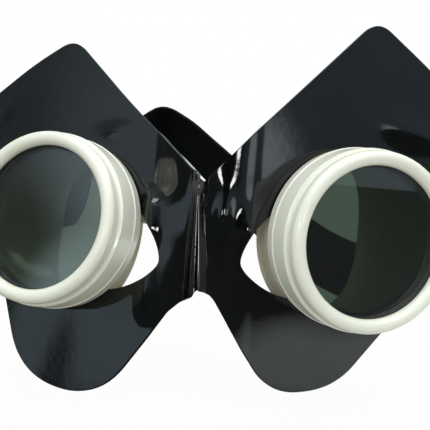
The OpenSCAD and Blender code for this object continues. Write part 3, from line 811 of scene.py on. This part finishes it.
@dataclass
class EyeCup:
    """A cup: neck for the ring, slanted bowl with a rolled rim, strap bar and bridge lug."""

    place: CupPlace
    nose_r: float
    neck_r: float = 26.8
    pocket_r: float = 25.3
    throat_r: float = 24.8
    ledge_r: float = 23.0
    bowl_front: float = 17.5
    wall: float = 1.8
    depth: float = 36.0
    temple_r: float = 20.5
    tall_r: float = 28.0
    slant: float = 21.0
    saddle: float = 3.0
    bead: float = 1.0
    bead_from: Pair = (0.82, 0.86)
    bead_span: float = 0.14
    bead_inside: float = 0.3
    roll: Triple = (0.75, 0.5, 0.9)
    outside: tuple[float, float, int] = (0.04, 0.97, 34)
    inside: tuple[float, float, int] = (0.93, 0.04, 26)
    steps: int = 240
    neck: tuple[Pair, ...] = ((-0.3, 1.6), (0.0, 1.9), (0.0, 9.0))
    strap_half: float = 11.5
    lug_gap: float = 0.3
    lug_wall: float = 2.4
    strap_levels: Pair = (-28.6, -25.4)
    strap_slot: Triple = (32.2, 35.8, 12.5)
    bridge_levels: Pair = (-23.6, -21.4)
    rivet: Triple = (-32.3, 8.0, 1.75)

    def rim_r(self, a: Array) -> Array:
        """Radius of the rim: a mean, a cosine for temple and nose, a double one for the height."""
        mean = (self.temple_r + self.nose_r) / 2.0
        return (
            (mean + self.tall_r) / 2.0
            + (self.temple_r - self.nose_r) / 2.0 * np.cos(a)
            + (mean - self.tall_r) / 2.0 * np.cos(2.0 * a)
        )

    def rim_s(self, a: Array) -> Array:
        """Depth of the rim: slanted with the cosine and cut back with the squared sine."""
        slope = math.tan(math.radians(self.slant))
        return self.depth + self.rim_r(a) * np.cos(a) * slope - self.saddle * np.sin(a) ** 2

    def bowl(self) -> Thing:
        """The bowl and neck as one closed skin.

        For each angle the section runs from the neck's front edge down the outside to the rim,
        round the rolled rim, and back up the inside over the throat, the ledge and the lens pocket.
        Below the neck the radius eases from the neck's to the rim's while the depth grows evenly;
        near the rim it swells by the bead. The roll is a half ellipse.
        """
        a = full_turn(self.steps)[None]
        one = np.ones_like(a)
        rim, deep = self.rim_r(a), self.rim_s(a)
        rows: list[Array] = []

        def put(r: Array, s: Array) -> None:
            """Adds one row of the skin from radius and depth."""
            rows.append(np.stack([r * one * np.cos(a), r * one * np.sin(a), -s * one], axis=-1)[0])

        def swell(v: float, start: float) -> Array:
            """The bead's height a share v of the way down, from where it starts."""
            return self.bead * ease(np.array((v - start) / self.bead_span))

        for off, s in self.neck:
            put(self.neck_r + off, s)
        put(self.neck_r, self.bowl_front)
        for v in np.linspace(*self.outside):
            r = mix(self.neck_r, rim, ease(np.array(v))) + swell(v, self.bead_from[0])
            put(r, mix(self.bowl_front, deep, v))
        share, back, high = self.roll
        for turn in np.linspace(0.15, 1.0, 8) * math.pi:
            r = rim + self.bead - self.wall * share + self.wall * share * math.cos(turn)
            put(r, deep - back + high * math.sin(turn))
        for v in np.linspace(*self.inside):
            r = mix(self.throat_r, rim - self.wall, ease(np.array(v)))
            r = r + swell(v, self.bead_from[1]) * self.bead_inside
            put(r, mix(self.bowl_front, deep, v))
        throat, ledge, pocket = self.throat_r, self.ledge_r, self.pocket_r
        for r, s in (
            (throat, self.bowl_front), (throat, 10.5), (throat - 0.3, 10.15), (ledge, 10.1),
            (ledge, 8.2), (ledge + 0.2, 7.95), (pocket, 7.95), (pocket, 1.9), (pocket + 0.3, 1.6),
        ):
            put(r, s)
        points = self.place.points(np.stack(rows).reshape(-1, 3))
        quads = grid_quads(len(rows), self.steps, True, True)
        return make_piece(f"{self.place.word}_cup_bowl", points, [quads])

    def strap_lug(self) -> Thing:
        """The plate at the temple with the slot and the bar that the strap goes round."""
        half = self.strap_half + self.lug_gap + self.lug_wall
        x0, x1, w = self.strap_slot
        outer = [(22.8, -half, 2.0), (39.2, -half, 1.6), (39.2, half, 1.6), (22.8, half, 2.0)]
        inner = [(x0, -w, 0.8), (x1, -w, 0.8), (x1, w, 0.8), (x0, w, 0.8)]
        loop = even_loop(filleted(outer, steps=6), count=200)
        slot = even_loop(filleted(inner, steps=4), count=200)
        first = int(np.argmin(np.linalg.norm(loop - slot[0] * np.array([1.0, 1.25]), axis=1)))
        loop = np.roll(loop, -first, axis=0)
        name = f"{self.place.word}_strap_lug"
        return plate_loop(name, self.place, loop, slot, self.strap_levels, fillet=1.2)

    def bridge_lug(self) -> Thing:
        """The small plate at the nose side that the bridge is riveted to."""
        outer = [(-23.0, 3.0, 1.0), (-23.0, 13.0, 1.0), (-35.6, 13.0, 3.0), (-35.6, 3.0, 3.0)]
        loop, ang = even_loop(filleted(outer, steps=6), count=120), full_turn(120)
        centre = np.array(self.rivet[:2])
        hole = centre + self.rivet[2] * np.stack([np.cos(ang), -np.sin(ang)], axis=-1)
        rel = loop - centre
        first = int(np.argmin(np.abs(np.arctan2(rel[:, 1], rel[:, 0]))))
        loop = np.roll(loop, -first, axis=0)
        name = f"{self.place.word}_bridge_lug"
        return plate_loop(name, self.place, loop, hole, self.bridge_levels, fillet=0.5)

    def build(self, finishes: Finishes) -> None:
        """Makes the cup's pieces and lets the bowl stand for the CAD cup."""
        settle(self.bowl(), finishes.cup, "goggles", "cup", f"{self.place.word}_cup")
        settle(self.strap_lug(), finishes.cup, "goggles", "cup")
        settle(self.bridge_lug(), finishes.cup, "goggles", "cup")


# ---- the ear panel ----


@dataclass(frozen=True)
class Ripple:
    """One swelling or hollow of the panel: a bell in x and z, leaning with the height."""

    x: float
    z: float
    wide: float
    tall: float
    depth: float
    lean: float = 0.0

    def at(self, x: Array, z: Array) -> Array:
        """The depth that it adds at each place; less than nothing stands forward."""
        across = hump(x, self.x + self.lean * (z - self.z), self.wide)
        return self.depth * across * hump(z, self.z, self.tall)


@dataclass
class EarPanel:
    """The vinyl sheet: ears, notch, cheek lobes and nose cut-out, pinched to a fold over the nose.

    Each pair of heights of the swell is where it has nothing and where it is full.
    """

    thickness: float = 1.2
    panel_s: float = 17.0
    nose_levels: Pair = (31.8, 35.2)
    nose_change: Pair = (-2.5, 1.5)
    blend_x: float = 18.0
    notch_z: float = 14.8
    apex_z: float = -18.5
    fold_x: float = -1.6
    fold_drift: float = 0.9
    fold_w: float = 6.2
    fold_narrow: float = 0.42
    crest: Triple = (36.2, 0.034, 0.00115)
    crest_round: float = 0.075
    swell_line: tuple[float, float, int] = (-30.0, 4.0, 681)
    swell_from: float = -20.9
    swell_at: tuple[Pair, ...] = ((-17.9, 27.2), (-13.8, 27.4), (-4.8, 30.9))
    swell_to: float = -2.0
    swell_z: float = 4.0
    swell_bell: tuple[int, float] = (40, 16.0)
    swell_foot: Pair = (-34.0, -20.0)
    swell_waist: Triple = (-9.0, 0.0, 0.55)
    forward_top: Pair = (14.0, 6.0)
    back_top: Pair = (27.0, 17.0)
    hole_r0: float = 27.3
    hole_corner: float = 10.5
    hole_drop: float = 15.0
    hole_spread: Pair = (31.0, 26.0)
    hole_blunt: float = 3.0
    rows: int = 90
    step: float = 0.8
    seam: int = 46
    outlines: dict = field(
        default_factory=lambda: {
            Side.LEFT: [
                (0, 14.8, 0), (28.9, 40.6, 8), (52, 63.6, 6), (67.8, 54.1, 8), (92, 35, 9),
                (73, -18, 14), (60.5, -54.3, 16), (31, -57.8, 14.6), (9.7, -27.1, 1), (0, -18.5, 0),
            ],
            Side.RIGHT: [
                (0, 14.8, 0), (29.7, 46.5, 8), (52, 70.5, 6), (72.7, 56, 8), (92, 40, 9),
                (73, -18, 14), (46, -50.4, 9.5), (24.4, -52.3, 14), (4.1, -19.9, 3), (0, -18.5, 0),
            ],
        }
    )
    ripples: tuple[Ripple, ...] = (
        Ripple(15.4, 0.0, 4.0, 6.4, -2.1),
        Ripple(6.4, 4.0, 2.7, 8.0, -1.5, 0.05),
        Ripple(-31.0, 31.0, 7.0, 3.0, -0.5, 0.4),
        Ripple(66.0, 36.0, 9.0, 5.0, -0.9, -0.6),
        Ripple(-80.0, 28.0, 8.0, 12.0, 0.6, 0.5),
        Ripple(94.0, 16.0, 9.0, 12.0, 0.9, -0.4),
        Ripple(-52.0, -44.0, 11.0, 22.0, 0.45, 0.25),
        Ripple(30.0, -40.0, 12.0, 10.0, 0.6),
    )

    def plane_y(self, side: Side, x: Array, z: Array) -> Array:
        """Depth of the flat sheet behind a ring: the plane square to the cup's axis there."""
        n = PLACES[side].turned_dir((0, 0, 1))
        o = PLACES[side].point(0.0, 0.0, -self.panel_s)
        return o[1] - ((x - o[0]) * n[0] + (z - o[2]) * n[2]) / n[1]

    def eased(self, side: Side, x: Array, z: Array) -> Array:
        """Depth of the plane behind the ring, led into the nose's level within the blend width.

        The way there is a smooth step far from the nose, and nearer it mostly a straight line.
        """
        t = np.clip(1.0 - np.abs(x) / self.blend_x, 0.0, 1.0)
        w = mix(ease(t), t, 0.8 * ease(4.0 * t))
        nose = -mix(*self.nose_levels, rise(x, *self.nose_change))
        return mix(self.plane_y(side, x, z), nose, w)

    def swell(self, x: Array) -> Array:
        """How far the left skin stands off the eased plane: a bulge by the ring, then an even fall.

        The wanted profile is a line through points at one height. Less the eased plane at that
        height, it is smoothed with a bell. The bell's reach and width count the line's points.
        """
        start, stop, count = self.swell_line
        line = np.linspace(start, stop, count)
        plain = self.eased(Side.LEFT, line, np.full_like(line, self.swell_z))
        ends = (start, None), (self.swell_from, None), (self.swell_to, None), (stop, None)
        points = [*ends[:2], *self.swell_at, *ends[2:]]
        levels = [np.interp(px, line, plain) if y is None else -y for px, y in points]
        wanted = np.interp(line, [px for px, _ in points], levels)
        off = np.where(line > self.swell_to, 0.0, wanted - plain)
        reach, wide = self.swell_bell
        bell = hump(np.arange(-reach, reach + 1), 0.0, wide)
        soft = np.convolve(np.pad(off, reach, "edge"), bell / bell.sum(), "valid")
        return np.interp(x, line, soft)

    def depth(self, side: Side, x: Array, z: Array) -> Array:
        """Depth of the panel's front skin.

        The eased plane carries the left swell, which is full beside the nose and fades downward and
        upward, its forward part sooner. The fold's crest is laid over it within a flat-topped bell
        that widens downward: it is a parabola across, and leans forward in a bow downward. The
        ripples are added.
        """
        q = rise(z, self.notch_z, self.apex_z)
        off = self.swell(x)
        *waist, share = self.swell_waist
        low = rise(z, *self.swell_foot) * mix(share, 1.0, rise(z, *waist))
        top = np.where(off < 0.0, rise(z, *self.forward_top), rise(z, *self.back_top))
        skin = self.eased(side, x, z) + off * (top * low)
        wide = self.fold_w / 2.0 * mix(self.fold_narrow, 1.0, q)
        across = x - self.fold_x - self.fold_drift * q
        level, lean, bow = self.crest
        down = self.notch_z - z
        crest = -level - lean * down - bow * down * down + self.crest_round * across * across
        waves = sum(r.at(x, z) for r in self.ripples)
        return mix(skin, crest, np.exp(-(np.abs(across / wide) ** 4.0))) + waves

    def hole(self, a: Array) -> Array:
        """Radius of the eye hole: round, drawn out to a rounded corner towards the nose."""
        deg = np.degrees(a)
        e = np.where(deg < 0, 180.0 + deg, deg - 180.0) - self.hole_drop
        f = np.sqrt(e * e + self.hole_blunt**2) - self.hole_blunt
        drawn = np.maximum(0.0, 1.0 - f / np.where(e > 0, *self.hole_spread))
        return self.hole_r0 + self.hole_corner * drawn

    def outline(self, side: Side) -> Array:
        """One half's outline from the notch round to the cut-out's top, then up the middle."""
        flat = filleted(self.outlines[side], steps=10, closed=False, end_share=0.9)
        even = resample(np.column_stack([flat, np.zeros(len(flat))]), self.step)[:, :2]
        z = np.linspace(self.apex_z, self.notch_z, self.seam + 1)[:-1]
        return np.concatenate([even[:-1], np.stack([np.zeros_like(z), z], axis=-1)])

    def half(self, side: Side) -> Array:
        """One half's skin as a grid from the eye hole (first row) to the outline (last row)."""
        o, axes = PLACES[side].point(0.0, 0.0, -self.panel_s), PLACES[side].axes()
        edge = self.outline(side)
        x, z = int(side) * edge[:, 0], edge[:, 1]
        flat = np.stack([x, self.plane_y(side, x, z), z], axis=-1) - o
        a = np.arctan2(flat @ axes[1], flat @ axes[0])
        ring = np.cos(a)[:, None] * axes[0] + np.sin(a)[:, None] * axes[1]
        inner = o + self.hole(a)[:, None] * ring
        m = np.linspace(0.0, 1.0, self.rows)[:, None]
        gx, gz = mix(inner[None, :, 0], x[None], m), mix(inner[None, :, 2], z[None], m)
        return np.stack([gx, self.depth(side, gx, gz), gz], axis=-1)

    def build(self, finishes: Finishes) -> None:
        """Makes the sheet from both halves, joined up the middle, and gives it its thickness."""
        points: list[Array] = []
        faces: list[Array] = []
        start = 0
        for side in Side:
            grid = self.half(side)
            rows, cols = grid.shape[:2]
            quads = grid_quads(rows, cols, False, True, start)
            flat = grid.reshape(-1, 3)
            a, b, c = flat[quads[0, :3] - start]
            if np.cross(b - a, c - b)[1] > 0.0:
                quads = quads[:, ::-1]
            points.append(flat)
            faces.append(quads)
            start += rows * cols
        skin = np.concatenate(points)
        obj = make_piece("ear_panel_sheet", skin, faces, sharp_deg=60.0, closed=False)
        weld(obj.data)
        solid = obj.modifiers.new("thickness", "SOLIDIFY")
        solid.thickness = self.thickness * MM
        solid.offset = -1.0
        bevelled(obj, "cut_edge", width=0.28, segments=2, from_deg=60.0)
        settle(obj, finishes.vinyl, "goggles", "vinyl", "ear_panel")


# ---- the strap ----


@dataclass(frozen=True)
class Stitch:
    """One sewn stitch: a closed bead from minus its reach to its reach, with elliptic sections."""

    reach: float = 1.0
    body: float = 0.95
    wide: float = 0.24
    high: float = 0.16
    rows: int = 5
    sides: int = 8

    def bead(self) -> Array:
        """Points as (along the strap, up its width, out of it), ending with the bead's two tips.

        Each ellipse's size is the square root of the sine of its share of the way up.
        """
        t = np.linspace(0.0, 1.0, self.rows + 2)[1:-1, None]
        ring, size = full_turn(self.sides), np.sin(math.pi * t) ** 0.5
        up = mix(-self.body, self.body, t) + 0.0 * ring
        oval = [self.wide * np.cos(ring) * size, up, self.high * np.sin(ring) * size]
        tips = [[0.0, -self.reach, 0.0], [0.0, self.reach, 0.0]]
        return np.concatenate([np.stack(oval, axis=-1).reshape(-1, 3), tips])


@dataclass
class HeadStrap:
    """The elastic: round both bars, doubled back at each end, and in one loop behind the head."""

    width: float = 23.0
    thickness: float = 1.6
    bar_x: float = 37.5
    bar_s: float = 27.0
    wrap_r: float = 3.0
    layer: float = 1.0
    converge: float = 10.0
    left_tail: float = 26.0
    right_tail: float = 68.0
    run_end: dict = field(
        default_factory=lambda: {Side.LEFT: (-78.0, 36.0, -17.0), Side.RIGHT: (56.9, 33.9, -19.0)}
    )
    loop: tuple = (
        (43.7, 54.5, -13, 0.5, -0.05, 0.85), (28.4, 69, -3, 0.4, -0.25, 0.88),
        (11, 83.7, 11.5, 0.25, -0.45, 0.85), (-6, 94.3, 25.8, 0.2, -0.55, 0.82),
        (-21.7, 103, 38.6, 0.2, -0.68, 0.75), (-36, 106.5, 45, 0.2, -0.8, 0.6),
        (-54, 99, 35.5, 0.4, -0.8, 0.3), (-66, 91, 24, 0.7, -0.65, 0.1),
        (-71.3, 82, 14, 0.85, -0.45, 0.1), (-73.6, 70, 0.6, 0.97, -0.1, -0.1),
        (-76.3, 58, -12.8, 0.45, 0.3, 0.8), (-77, 47, -19, 0.25, 0.1, 0.95),
    )

    def bar(self, side: Side) -> Array:
        """The middle of a cup's strap bar."""
        return PLACES[side].point(self.bar_x, 0.0, -self.bar_s)

    def start(self, side: Side) -> Array:
        """Where a doubled end's line starts: the bar, less half the way that the line climbs."""
        up = PLACES[side].up
        climb = up @ unit(np.array(self.run_end[side]) - self.bar(side))
        return self.bar(side) - up * climb * self.converge / 2.0

    def frame(self, side: Side) -> tuple[Array, Array, Array]:
        """Directions of a doubled end: along it from the bar, across its width, and outwards."""
        d = unit(np.array(self.run_end[side]) - self.start(side))
        u = PLACES[side].up
        w = unit(u - (u @ d) * d)
        c = np.cross(w, d)
        return d, w, c if c @ PLACES[side].turned_dir((1, 0, 0)) > 0 else -c

    def run(self, side: Side, s: Array, o: Array) -> Array:
        """Rows of place and width direction on a doubled end, s from its start and o outwards."""
        d, w, out = self.frame(side)
        s, o = np.broadcast_arrays(np.atleast_1d(s).astype(float), np.atleast_1d(o).astype(float))
        p = self.start(side) + s[:, None] * d + o[:, None] * out
        return np.column_stack([p, np.tile(w, (len(p), 1))])

    def way_in(self, side: Side, sign: float) -> Array:
        """Rows from the doubled layers to the bar, on the outer side (+1) or the inner one (-1).

        With k falling from 1 to 0.25, the layer moves out to the wrap's radius by 0.3, and its
        height over the bar falls with the square of k, so that it leaves the bar square to it.
        """
        u, w, b = PLACES[side].up, self.frame(side)[1], self.bar(side)
        height = (self.run(side, self.converge, 0.0)[0, :3] - b) @ u
        k = np.linspace(1.0, 0.25, 9)
        out = sign * mix(self.wrap_r, self.layer, rise(k, 0.3, 1.0))
        line = self.run(side, self.converge * k, out)[:, :3]
        climb = k * k * height - (line - b) @ u
        return np.column_stack([line + climb[:, None] * u, mix(u, w, k[:, None])])

    def wrap(self, side: Side) -> Array:
        """Half a turn round the bar, from the outer layer to the inner, with the way in and out."""
        a = np.linspace(0.0, math.pi, 17)
        x, z = self.bar_x + self.wrap_r * np.cos(a), -self.bar_s + self.wrap_r * np.sin(a)
        arc = PLACES[side].points(np.stack([x, 0 * a, z], axis=-1))
        turn = np.column_stack([arc, np.tile(PLACES[side].up, (len(a), 1))])
        return np.concatenate([self.way_in(side, 1.0), turn, self.way_in(side, -1.0)[::-1]])

    def middle(self) -> Array:
        """The line midway between the layers, from the right bar round the head to the left one.

        Straight along each doubled end, and a Catmull-Rom curve through the loop's points between.
        """
        ends = {}
        for side in Side:
            length = float(np.linalg.norm(np.array(self.run_end[side]) - self.start(side)))
            places = np.arange(self.converge, length - 2.0 + TOUCHING, 5.0)
            ends[side] = self.run(side, places, 0.0)
        right, left = ends[Side.RIGHT], ends[Side.LEFT][::-1]
        keys = np.concatenate([right[-2:], np.array(self.loop, float), left[:2]])
        curve = []
        t = np.linspace(0.0, 1.0, 24, endpoint=False)[:, None]
        for i in range(1, len(keys) - 2):
            a, b, c, d = keys[i - 1 : i + 3]
            bend, twist = (2 * a - 5 * b + 4 * c - d) * t**2, (3 * b - a - 3 * c + d) * t**3
            curve.append(0.5 * (2 * b + (c - a) * t + bend + twist))
        return resample(np.concatenate([right[:-1], *curve, left]), step=1.0)

    @staticmethod
    def layered(line: Array, offset: float) -> Array:
        """A line moved square to itself and to its width direction."""
        d = unit(np.gradient(line[:, :3], axis=0))
        out = line.copy()
        out[:, :3] += unit(np.cross(line[:, 3:6], d)) * offset
        return out

    @staticmethod
    def first(line: Array, reach: float) -> Array:
        """The part of a line of 1 mm steps within a length of its start."""
        return line[: max(2, int(round(reach)))]

    def path(self) -> Array:
        """The whole strap from the free end at the right to the sewn end at the left."""
        mid = self.middle()
        inner, outer = self.layered(mid, self.layer), self.layered(mid, -self.layer)
        tail_r = self.first(outer, self.right_tail - self.converge)[::-1]
        tail_l = self.first(outer[::-1], self.left_tail - self.converge)
        wrap_r, wrap_l = self.wrap(Side.RIGHT), self.wrap(Side.LEFT)[::-1]
        whole = np.concatenate([tail_r[:-1], wrap_r, inner[1:-1], wrap_l, tail_l[1:]])
        return smoothed(resample(whole, step=0.9), rounds=3)

    def sewing(self, name: str, line: Array, rows: Sequence[float]) -> Thing:
        """Rows of nine stitches across the doubled strap, at lengths along a line of 1 mm steps."""
        stitch = Stitch()
        across = np.linspace(-9.2, 9.2, 9)[:, None, None]
        d = unit(np.gradient(line[:, :3], axis=0))
        beads = []
        for i in (min(len(line) - 2, int(round(row))) for row in rows):
            up = unit(line[i, 3:6] - (line[i, 3:6] @ d[i]) * d[i])
            out = np.cross(up, d[i])
            middle = line[i, :3] + out * (self.thickness / 2.0 + 0.05)
            beads.append(middle + up * across + stitch.bead() @ np.stack([d[i], up, out]))
        points = np.concatenate(beads)
        starts = np.arange(len(points))[:, None, None] * points.shape[1]
        one = tube_faces(stitch.rows, stitch.sides)
        faces = [(group + starts).reshape(-1, group.shape[1]) for group in one]
        return make_piece(name, points.reshape(-1, 3), faces, sharp_deg=40.0)

    def build(self, nodes: dict, finishes: Finishes) -> None:
        """Makes the strap, its sewing and the rounded slide."""
        section = BandSection(self.width, self.thickness, ribs=21, rib_height=0.16)
        strap = swept_band("head_strap_elastic", self.path(), section, pinch=0.35)
        settle(strap, finishes.elastic, "goggles", "strap", "head_strap")
        outer = self.layered(self.middle(), -self.layer)
        hem = self.right_tail - self.converge - 6.0
        for name, line, rows in (
            ("left_end_sewing", outer[::-1], (5.0, 12.0)), ("right_end_sewing", outer, (hem,))
        ):
            settle(self.sewing(name, line, rows), finishes.thread, "goggles", "strap")
        settle(self.slide(nodes), finishes.buckle, "slide_buckle", "slide", "strap_slide")

    @staticmethod
    def slide(nodes: dict) -> Thing:
        """A copy of the CAD slide, welded, with every edge rounded."""
        mesh = nodes["strap_slide"].data.copy()
        weld(mesh, flat_deg=1.0)
        smooth(mesh)
        obj = added("strap_slide_buckle", mesh)
        bevelled(obj, "rounded", width=0.45, segments=3, from_deg=40.0).harden_normals = True
        return obj


# ---- the nose ----


@dataclass
class NoseBridge:
    """The strip behind the fold with its rivets, and the tab that closes the fold at the notch."""

    width: float = 9.0
    thickness: float = 1.8
    start: float = 29.0
    reach: float = 35.6
    lug_s: float = 23.6
    lug_gap: float = 0.1
    height: float = 8.0
    pull: float = 9.0

    def path(self) -> Array:
        """Rows along the strip: straight on both lugs, and a cubic curve between them."""
        s = self.lug_s + self.lug_gap + self.thickness / 2.0
        x = np.linspace(self.start, self.reach, 12)
        local = np.stack([-x, np.full_like(x, self.height), np.full_like(x, -s)], axis=-1)
        left, right = (
            np.column_stack([PLACES[side].points(local), np.tile(PLACES[side].up, (len(x), 1))])
            for side in Side
        )
        right = right[::-1]
        a, d = left[-1, :3], right[0, :3]
        b = a + self.pull * PLACES[Side.LEFT].turned_dir((-1, 0, 0))
        c = d + self.pull * PLACES[Side.RIGHT].turned_dir((-1, 0, 0))
        t = np.linspace(0.0, 1.0, 42)[1:-1, None]
        curve = (1 - t) ** 3 * a + 3 * t * (1 - t) ** 2 * b + 3 * t * t * (1 - t) * c + t**3 * d
        up = mix(left[-1, 3:], right[0, 3:], t)
        return np.concatenate([left, np.column_stack([curve, up]), right])

    def build(self, nodes: dict, finishes: Finishes) -> None:
        """Makes the strip, and dresses the rivets, the tab and the stud."""
        section = BandSection(self.width, self.thickness)
        path = smoothed(resample(self.path(), step=0.6), rounds=4)
        strip = swept_band("nose_bridge_strip", path, section)
        settle(strip, finishes.rubber, "goggles", "rubber", "nose_bridge")
        dress(nodes["bridge_rivets"], finishes.steel)
        dress(nodes["nose_tab"], finishes.tab)
        dress(nodes["nose_stud"], finishes.buckle)


# ---- the studio ----


@dataclass(frozen=True)
class Lamp:
    """A rectangular studio light, aimed at the goggles' middle."""

    name: str
    where: Triple
    size: Pair
    watts: float
    colour: Triple

    def build(self) -> None:
        """Adds the light."""
        data = bpy.data.lights.new(self.name, "AREA")
        data.shape = "RECTANGLE"
        data.size, data.size_y = self.size
        data.energy = self.watts
        data.color = self.colour
        obj = added(self.name, data)
        obj.location = self.where
        obj.rotation_euler = (-Vector(self.where)).to_track_quat("-Z", "Y").to_euler()


@dataclass(frozen=True)
class Round:
    """A round patch of the surroundings: its direction, the cosines of its edge, and its tone."""

    centre: Triple
    inner: float
    outer: float
    tone: Triple


@dataclass
class Studio:
    """Camera, pale floor, surrounding light and lamps.

    The floor's height and half width are millimetres, and all its other lengths are metres.
    """

    eye: Triple = (0.01639, -0.25081, 0.01342)
    right: Triple = (0.99634, 0.05990, 0.06100)
    down: Triple = (0.06325, -0.03648, -0.99733)
    forward: Triple = (-0.05752, 0.99754, -0.04013)
    focal: float = 58.605
    sensor: float = 36.0
    floor_z: float = -57.2
    floor_half: float = 3000.0
    floor_tone: Triple = (0.42, 0.41, 0.38)
    # Painted reflection: the floor's dark and bright colours as the goggles mirror them; the next
    # two ranges place the painted bright patch.
    floor_painted_reflection: tuple[Triple, Triple] = ((0.02, 0.024, 0.021), (0.95, 1.0, 0.96))
    floor_right: Pair = (0.018, 0.055)
    floor_close: Pair = (-0.118, -0.07)
    floor_white: float = 0.97
    upward: Triple = (0.22, 0.0, 0.975)
    heights: tuple[tuple[float, Triple], ...] = (
        (0.0, (0.08, 0.09, 0.085)),
        (0.40, (0.10, 0.115, 0.11)),
        (0.525, (0.12, 0.135, 0.13)),
        (0.56, (0.29, 0.35, 0.39)),
        (0.64, (0.35, 0.42, 0.47)),
        (0.82, (0.45, 0.53, 0.57)),
        (1.0, (1.7, 1.75, 1.7)),
    )
    rounds: tuple[Round, ...] = (
        Round((0.06, -0.995, 0.05), 0.95, 0.90, (0.012, 0.013, 0.014)),
        Round((-0.74, -0.66, 0.11), 0.996, 0.988, (0.8, 1.0, 1.1)),
        Round((-0.60, -0.70, 0.36), 0.985, 0.95, (0.7, 0.86, 0.94)),
        Round((0.665, -0.745, -0.01), 0.997, 0.990, (2.2, 2.45, 2.6)),
        Round((0.72, -0.60, -0.36), 0.985, 0.962, (0.9, 0.98, 0.95)),
        Round((-0.05, -0.78, 0.62), 0.985, 0.92, (2.0, 2.5, 2.8)),
    )
    lamps: tuple[Lamp, ...] = (
        Lamp("key", (-0.42, -0.52, 1.0), (0.55, 0.45), 4.4, (1.0, 0.98, 0.93)),
        Lamp("fill", (0.50, -0.62, 0.80), (0.40, 0.40), 1.7, (1.0, 0.98, 0.93)),
        Lamp("rear", (0.38, 0.50, 0.50), (0.30, 0.30), 1.8, (1.0, 0.99, 0.95)),
        Lamp("spot_left", (-0.16, -0.62, 0.067), (0.05, 0.07), 0.26, (1.0, 0.98, 0.94)),
        Lamp("spot_right", (0.20, -0.62, 0.067), (0.065, 0.065), 0.32, (1.0, 0.98, 0.94)),
    )

    def camera(self) -> None:
        """The camera at the photograph's place and angle."""
        data = bpy.data.cameras.new("camera")
        data.lens = self.focal
        data.sensor_width = data.sensor_height = self.sensor
        data.sensor_fit = "HORIZONTAL"
        data.clip_start = 0.01
        obj = added("camera", data)
        basis = Matrix((Vector(self.right), -Vector(self.down), -Vector(self.forward)))
        obj.matrix_world = Matrix.Translation(self.eye) @ basis.transposed().to_4x4()
        bpy.context.scene.camera = obj

    def floor(self) -> None:
        """A wide floor just under the cheek lobes.

        The camera sees it nearly white, with a faint shadow. Mirrored in the goggles it is a
        painted
        reflection: painted dark, but for a painted bright area at the right and close to them. It
        lights them in a middle tone.
        """
        span = np.array([-self.floor_half, self.floor_half])
        gx, gy = np.meshgrid(span, span, indexing="ij")
        points = np.stack([gx, gy, np.full_like(gx, self.floor_z)], axis=-1).reshape(-1, 3)
        obj = make_piece("floor", points, [grid_quads(2, 2, False, False)[:, ::-1]], closed=False)
        s = Shader("pale_floor")
        light = s.add("LightPath").outputs
        mirrored = s.math("MAXIMUM", light["Is Glossy Ray"], light["Is Transmission Ray"])
        x, y, _ = s.add("SeparateXYZ", {0: s.place()}).outputs
        # Painted reflection: in glossy and transmission rays the floor is painted dark, with a
        # painted bright patch at the right and close to the goggles.
        bright = s.math("MULTIPLY", s.share(x, *self.floor_right), s.share(y, *self.floor_close))
        side = s.ramp(bright, *enumerate(self.floor_painted_reflection))
        s.set(Base_Color=s.blend(mirrored, (*self.floor_tone, 1.0), side), Roughness=0.9)
        white = s.add("Emission", {"Color": (1.0, 1.0, 1.0, 1.0), "Strength": 1.0})
        seen = s.math("MULTIPLY", s.behind(y), self.floor_white)
        s.whiten(s.output, s.surface.outputs[0], white, seen)
        dress(obj, s.material)

    def world(self) -> None:
        """The surroundings: white where the camera sees them, and a studio of soft tones elsewhere.

        The tone at a direction goes by its height over a tilted horizon. Rounds are laid over it:
        a dark one where the camera stands, and bright ones at both sides and above the camera.
        """
        world = bpy.data.worlds.new("studio")
        world.use_nodes = True
        bpy.context.scene.world = world
        s = Tree(world.node_tree)
        at = s.add("TexCoord").outputs["Generated"]
        tone = s.ramp(s.share(s.along(at, self.upward), -1.0, 1.0), *self.heights)
        for patch in self.rounds:
            near = s.share(s.along(at, patch.centre), patch.outer, patch.inner, "SMOOTHSTEP")
            tone = s.blend(near, tone, (*patch.tone, 1.0))
        seen = s.behind(s.add("SeparateXYZ", {0: at}).outputs[1])
        around = s.add("Background", {"Color": tone, "Strength": 1.0})
        white = s.add("Background", {"Color": (1.0, 1.0, 1.0, 1.0), "Strength": 1.0})
        s.whiten(s.add("OutputWorld"), around.outputs[0], white, seen)

    def build(self) -> None:
        """Sets up everything round the object."""
        bpy.context.scene.view_settings.view_transform = "Standard"
        self.camera()
        self.floor()
        self.world()
        for lamp in self.lamps:
            lamp.build()


def main() -> None:
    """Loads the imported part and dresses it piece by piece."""
    logging.basicConfig(level=logging.INFO, format="%(name)s: %(message)s")
    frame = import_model()
    nodes = frame["nodes"]
    Studio().build()
    finishes = Finishes()
    EarPanel().build(finishes)
    for side, place in PLACES.items():
        EyeCup(place, NOSE_RADII[side]).build(finishes)
        ScrewRing(place).build(finishes)
        LensPack(place).build(nodes, finishes)
    NoseBridge().build(nodes, finishes)
    HeadStrap().build(nodes, finishes)


if __name__ == "__main__":
    main()
